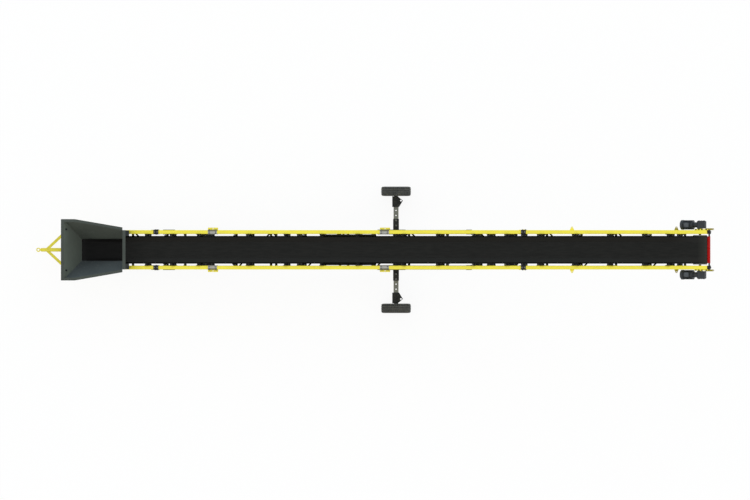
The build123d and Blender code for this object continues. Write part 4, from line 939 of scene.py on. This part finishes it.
# plates beside the belt: idler feet inside the chords, doublers on both faces, head plates outside
# their reaches along the frame are in picture pixels, as planView measures them
chordPlates = {
    "feet": ((145, 151.6), (170, 176.6), (184, 186.6), (197, 200.6), (203, 214.8), (246, 254.6), (284, 290.6),
             (297, 302.6), (393, 404.8), (436, 442.6), (446, 449), (473, 482.6), (487, 495.6), (506, 517.6),
             (521, 527.6), (537, 543.6), (572, 578.6), (607, 613.4), (642, 647.8), (667, 674.8), (677, 682.8)),
    "footIn": 0.472, "footAbove": 0.105, "footThick": 0.010, "upstand": 0.070, "footBolts": (0.25, 0.75),
    "footBoltIn": 0.045, "doublers": ((163.5, 174.5), (378, 405)), "doublerHigh": 0.120, "doublerThick": 0.014,
    "lip": (0.006, 0.004), "headPlate": (694.5, 708), "headPlateWide": 0.036, "headPlateThick": 0.05,
    "headPlateRise": 0.03, "headBolts": (0.1, 0.32, 0.55, 0.86), "headBoltsAt": (0.020, 0.215),
}


def pictureX(pixel):
    return (pixel - planView["middle"]) * planView["pixel"]


def alongReach(reach, share, above):
    first, last = reach
    return alongAt(pictureX(first + share * (last - first)), above)


def modelFootBracket():
    look = chordPlates
    thick = look["footThick"]
    wide = frameBolts["chordY"] - frameBolts["chordHalf"] - look["footIn"]
    bracket = modelBlock((1, wide, thick), (0, wide / 2, thick / 2))
    pickFaces(bracket, facesUp)
    bpy.ops.mesh.bisect(plane_co=(0, wide - thick, 0), plane_no=(0, 1, 0))
    pickFaces(bracket, lambda face: facesUp(face) and face.center.y > wide - thick)
    extrudeBy((0, 0, look["upstand"]))
    bpy.ops.object.mode_set(mode="OBJECT")
    return bracket


def modelDoubler(high, thick):
    plate = modelBlock((1, thick, high), (0, thick / 2, 0))
    pickFaces(plate, lambda face: face.normal.y > squareTo)
    insetSteps([chordPlates["lip"]])
    bpy.ops.object.mode_set(mode="OBJECT")
    return plate


def layAlong(pattern, reach, across, above, sign):
    start, end = alongReach(reach, 0, above), alongReach(reach, 1, above)
    copy = ownCopy(pattern)
    turn = frameTurn(outOfFrame, upFrame) @ Matrix.Diagonal((end - start, sign, 1, 1))
    copy.matrix_world = Matrix.Translation(onFrame((start + end) / 2, across, above)) @ turn
    return copy


def addChordPlates():
    look = chordPlates
    bracket = modelFootBracket()
    doubler = modelDoubler(look["doublerHigh"], look["doublerThick"])
    shelf = modelDoubler(look["headPlateThick"], look["headPlateWide"])
    inner = frameBolts["chordY"] - frameBolts["chordHalf"]
    outer = frameBolts["chordY"] + frameBolts["chordHalf"]
    middle = frameBolts["chordAbove"]
    feet, doublers, shelves, footSeats, headSeats = [], [], [], [], []
    for sign in sides.values():
        for reach in look["feet"]:
            feet.append(layAlong(bracket, reach, sign * look["footIn"], look["footAbove"], sign))
            for share in look["footBolts"]:
                along = alongReach(reach, share, look["footAbove"])
                across = sign * (look["footIn"] + look["footBoltIn"])
                footSeats.append((onFrame(along, across, look["footAbove"] + look["footThick"]), outOfFrame))
        for reach in look["doublers"]:
            doublers.append(layAlong(doubler, reach, sign * outer, middle, sign))
            doublers.append(layAlong(doubler, reach, sign * inner, middle, -sign))
        shelves.append(layAlong(shelf, look["headPlate"], sign * outer, middle + look["headPlateRise"], sign))
        aside, above = look["headBoltsAt"]
        for share in look["headBolts"]:
            along = alongReach(look["headPlate"], share, above)
            headSeats.append((onFrame(along, sign * (outer + aside), above), outOfFrame))
    for copies, name, slot, finish in (
            (feet, "idler_feet", "frame_black", "frameBlack"),
            (doublers, "chord_doublers", "frame_black", "frameBlack"),
            (shelves, "head_plates", "frame_yellow", "frameYellow")):
        joined = joinCopies(copies)
        turnOutward(joined)
        finishPiece(joined, name, "conveyor", finish, "small")
    fasten("foot_bolts", "smallBolt", footSeats, "conveyor")
    fasten("head_plate_bolts", "frameBolt", headSeats, "conveyor", "frameBlack")
    for pattern in (bracket, doubler, shelf):
        bpy.data.objects.remove(pattern)


# tension knobs of the scraper at the ends of the top chords: height and radius of each step, then the grips
knobShape = {
    "outline": ((0.0, 0.060), (0.030, 0.066), (0.036, 0.074), (0.095, 0.074), (0.104, 0.062), (0.108, 0.030),
                (0.122, 0.026)),
    "grips": 24, "gripFrom": 0.07, "upright": 0.1, "gripInset": 0.0015, "gripDepth": 0.004, "along": 0.340,
}


def modelKnob():
    outline, grips = knobShape["outline"], knobShape["grips"]
    clearSelection()
    bpy.ops.mesh.primitive_circle_add(vertices=2 * grips, radius=outline[0][1], fill_type="NGON")
    knob = bpy.context.object
    pickFaces(knob, lambda face: True)
    for (low, narrow), (high, wide) in zip(outline, outline[1:]):
        extrudeBy((0, 0, high - low))
        bpy.ops.transform.resize(value=(wide / narrow, wide / narrow, 1))
    turnOutward(knob)

    def onGrip(face):
        turn = math.floor(math.atan2(face.center.y, face.center.x) / (math.pi / grips))
        onWall = math.hypot(face.center.x, face.center.y) > knobShape["gripFrom"]
        return onWall and abs(face.normal.z) < knobShape["upright"] and turn % 2 == 0

    pickFaces(knob, onGrip)
    bpy.ops.mesh.inset(thickness=knobShape["gripInset"], depth=-knobShape["gripDepth"], use_individual=True)
    bpy.ops.object.mode_set(mode="OBJECT")
    return knob


def addKnobs():
    pattern = modelKnob()
    copies = []
    for sign in sides.values():
        copy = ownCopy(pattern)
        place = onFrame(beltLine["span"] + knobShape["along"], sign * frameBolts["chordY"], frameBolts["chordAbove"])
        copy.matrix_world = Matrix.Translation(place) @ frameTurn(upFrame, outOfFrame)
        copies.append(copy)
    finishPiece(joinCopies(copies), "tension_knobs", "conveyor", "frameBlack", "small")
    bpy.data.objects.remove(pattern)


# hopper: hooks high on the inside of the rear wall
hopperFittings = {
    "hooks": (-11.130, 0.740), "rear": ((-11.215, 2.405), (-10.556, 1.3227)), "pad": (0.090, 0.060, 0.014),
    "padSteps": ((0.006, 0.003), (0.014, 0)), "bend": ((-0.010, 0, 0.035), (-0.035, 0, 0.012)),
}


def modelHook():
    pad = hopperFittings["pad"]
    hook = modelBlock(pad, (0, 0, pad[2] / 2))
    pickFaces(hook, facesUp)
    insetSteps(hopperFittings["padSteps"])
    for shift in hopperFittings["bend"]:
        extrudeBy(shift)
    bpy.ops.object.mode_set(mode="OBJECT")
    return hook


def addHopperFittings():
    (topX, topZ), (footX, footZ) = hopperFittings["rear"]
    down = Vector((footX - topX, 0, footZ - topZ)).normalized()
    inward = Vector((-down.z, 0, down.x))
    x, y = hopperFittings["hooks"]
    z = topZ + (x - topX) * (footZ - topZ) / (footX - topX)
    hook = modelHook()
    hooks = []
    for sign in sides.values():
        copy = ownCopy(hook)
        copy.matrix_world = Matrix.Translation((x, sign * y, z)) @ frameTurn(inward, down)
        hooks.append(copy)
    finishPiece(joinCopies(hooks), "hopper_hooks", "conveyor", "supportGrey", "small")
    bpy.data.objects.remove(hook)


addWheelNuts()
addFrameBolts()
addChordPlates()
addKnobs()
addHopperFittings()
addAxleFittings()
addDriveFittings()
for pattern in patterns.values():
    bpy.data.objects.remove(pattern)
print("fasteners and fittings placed")

# close-out
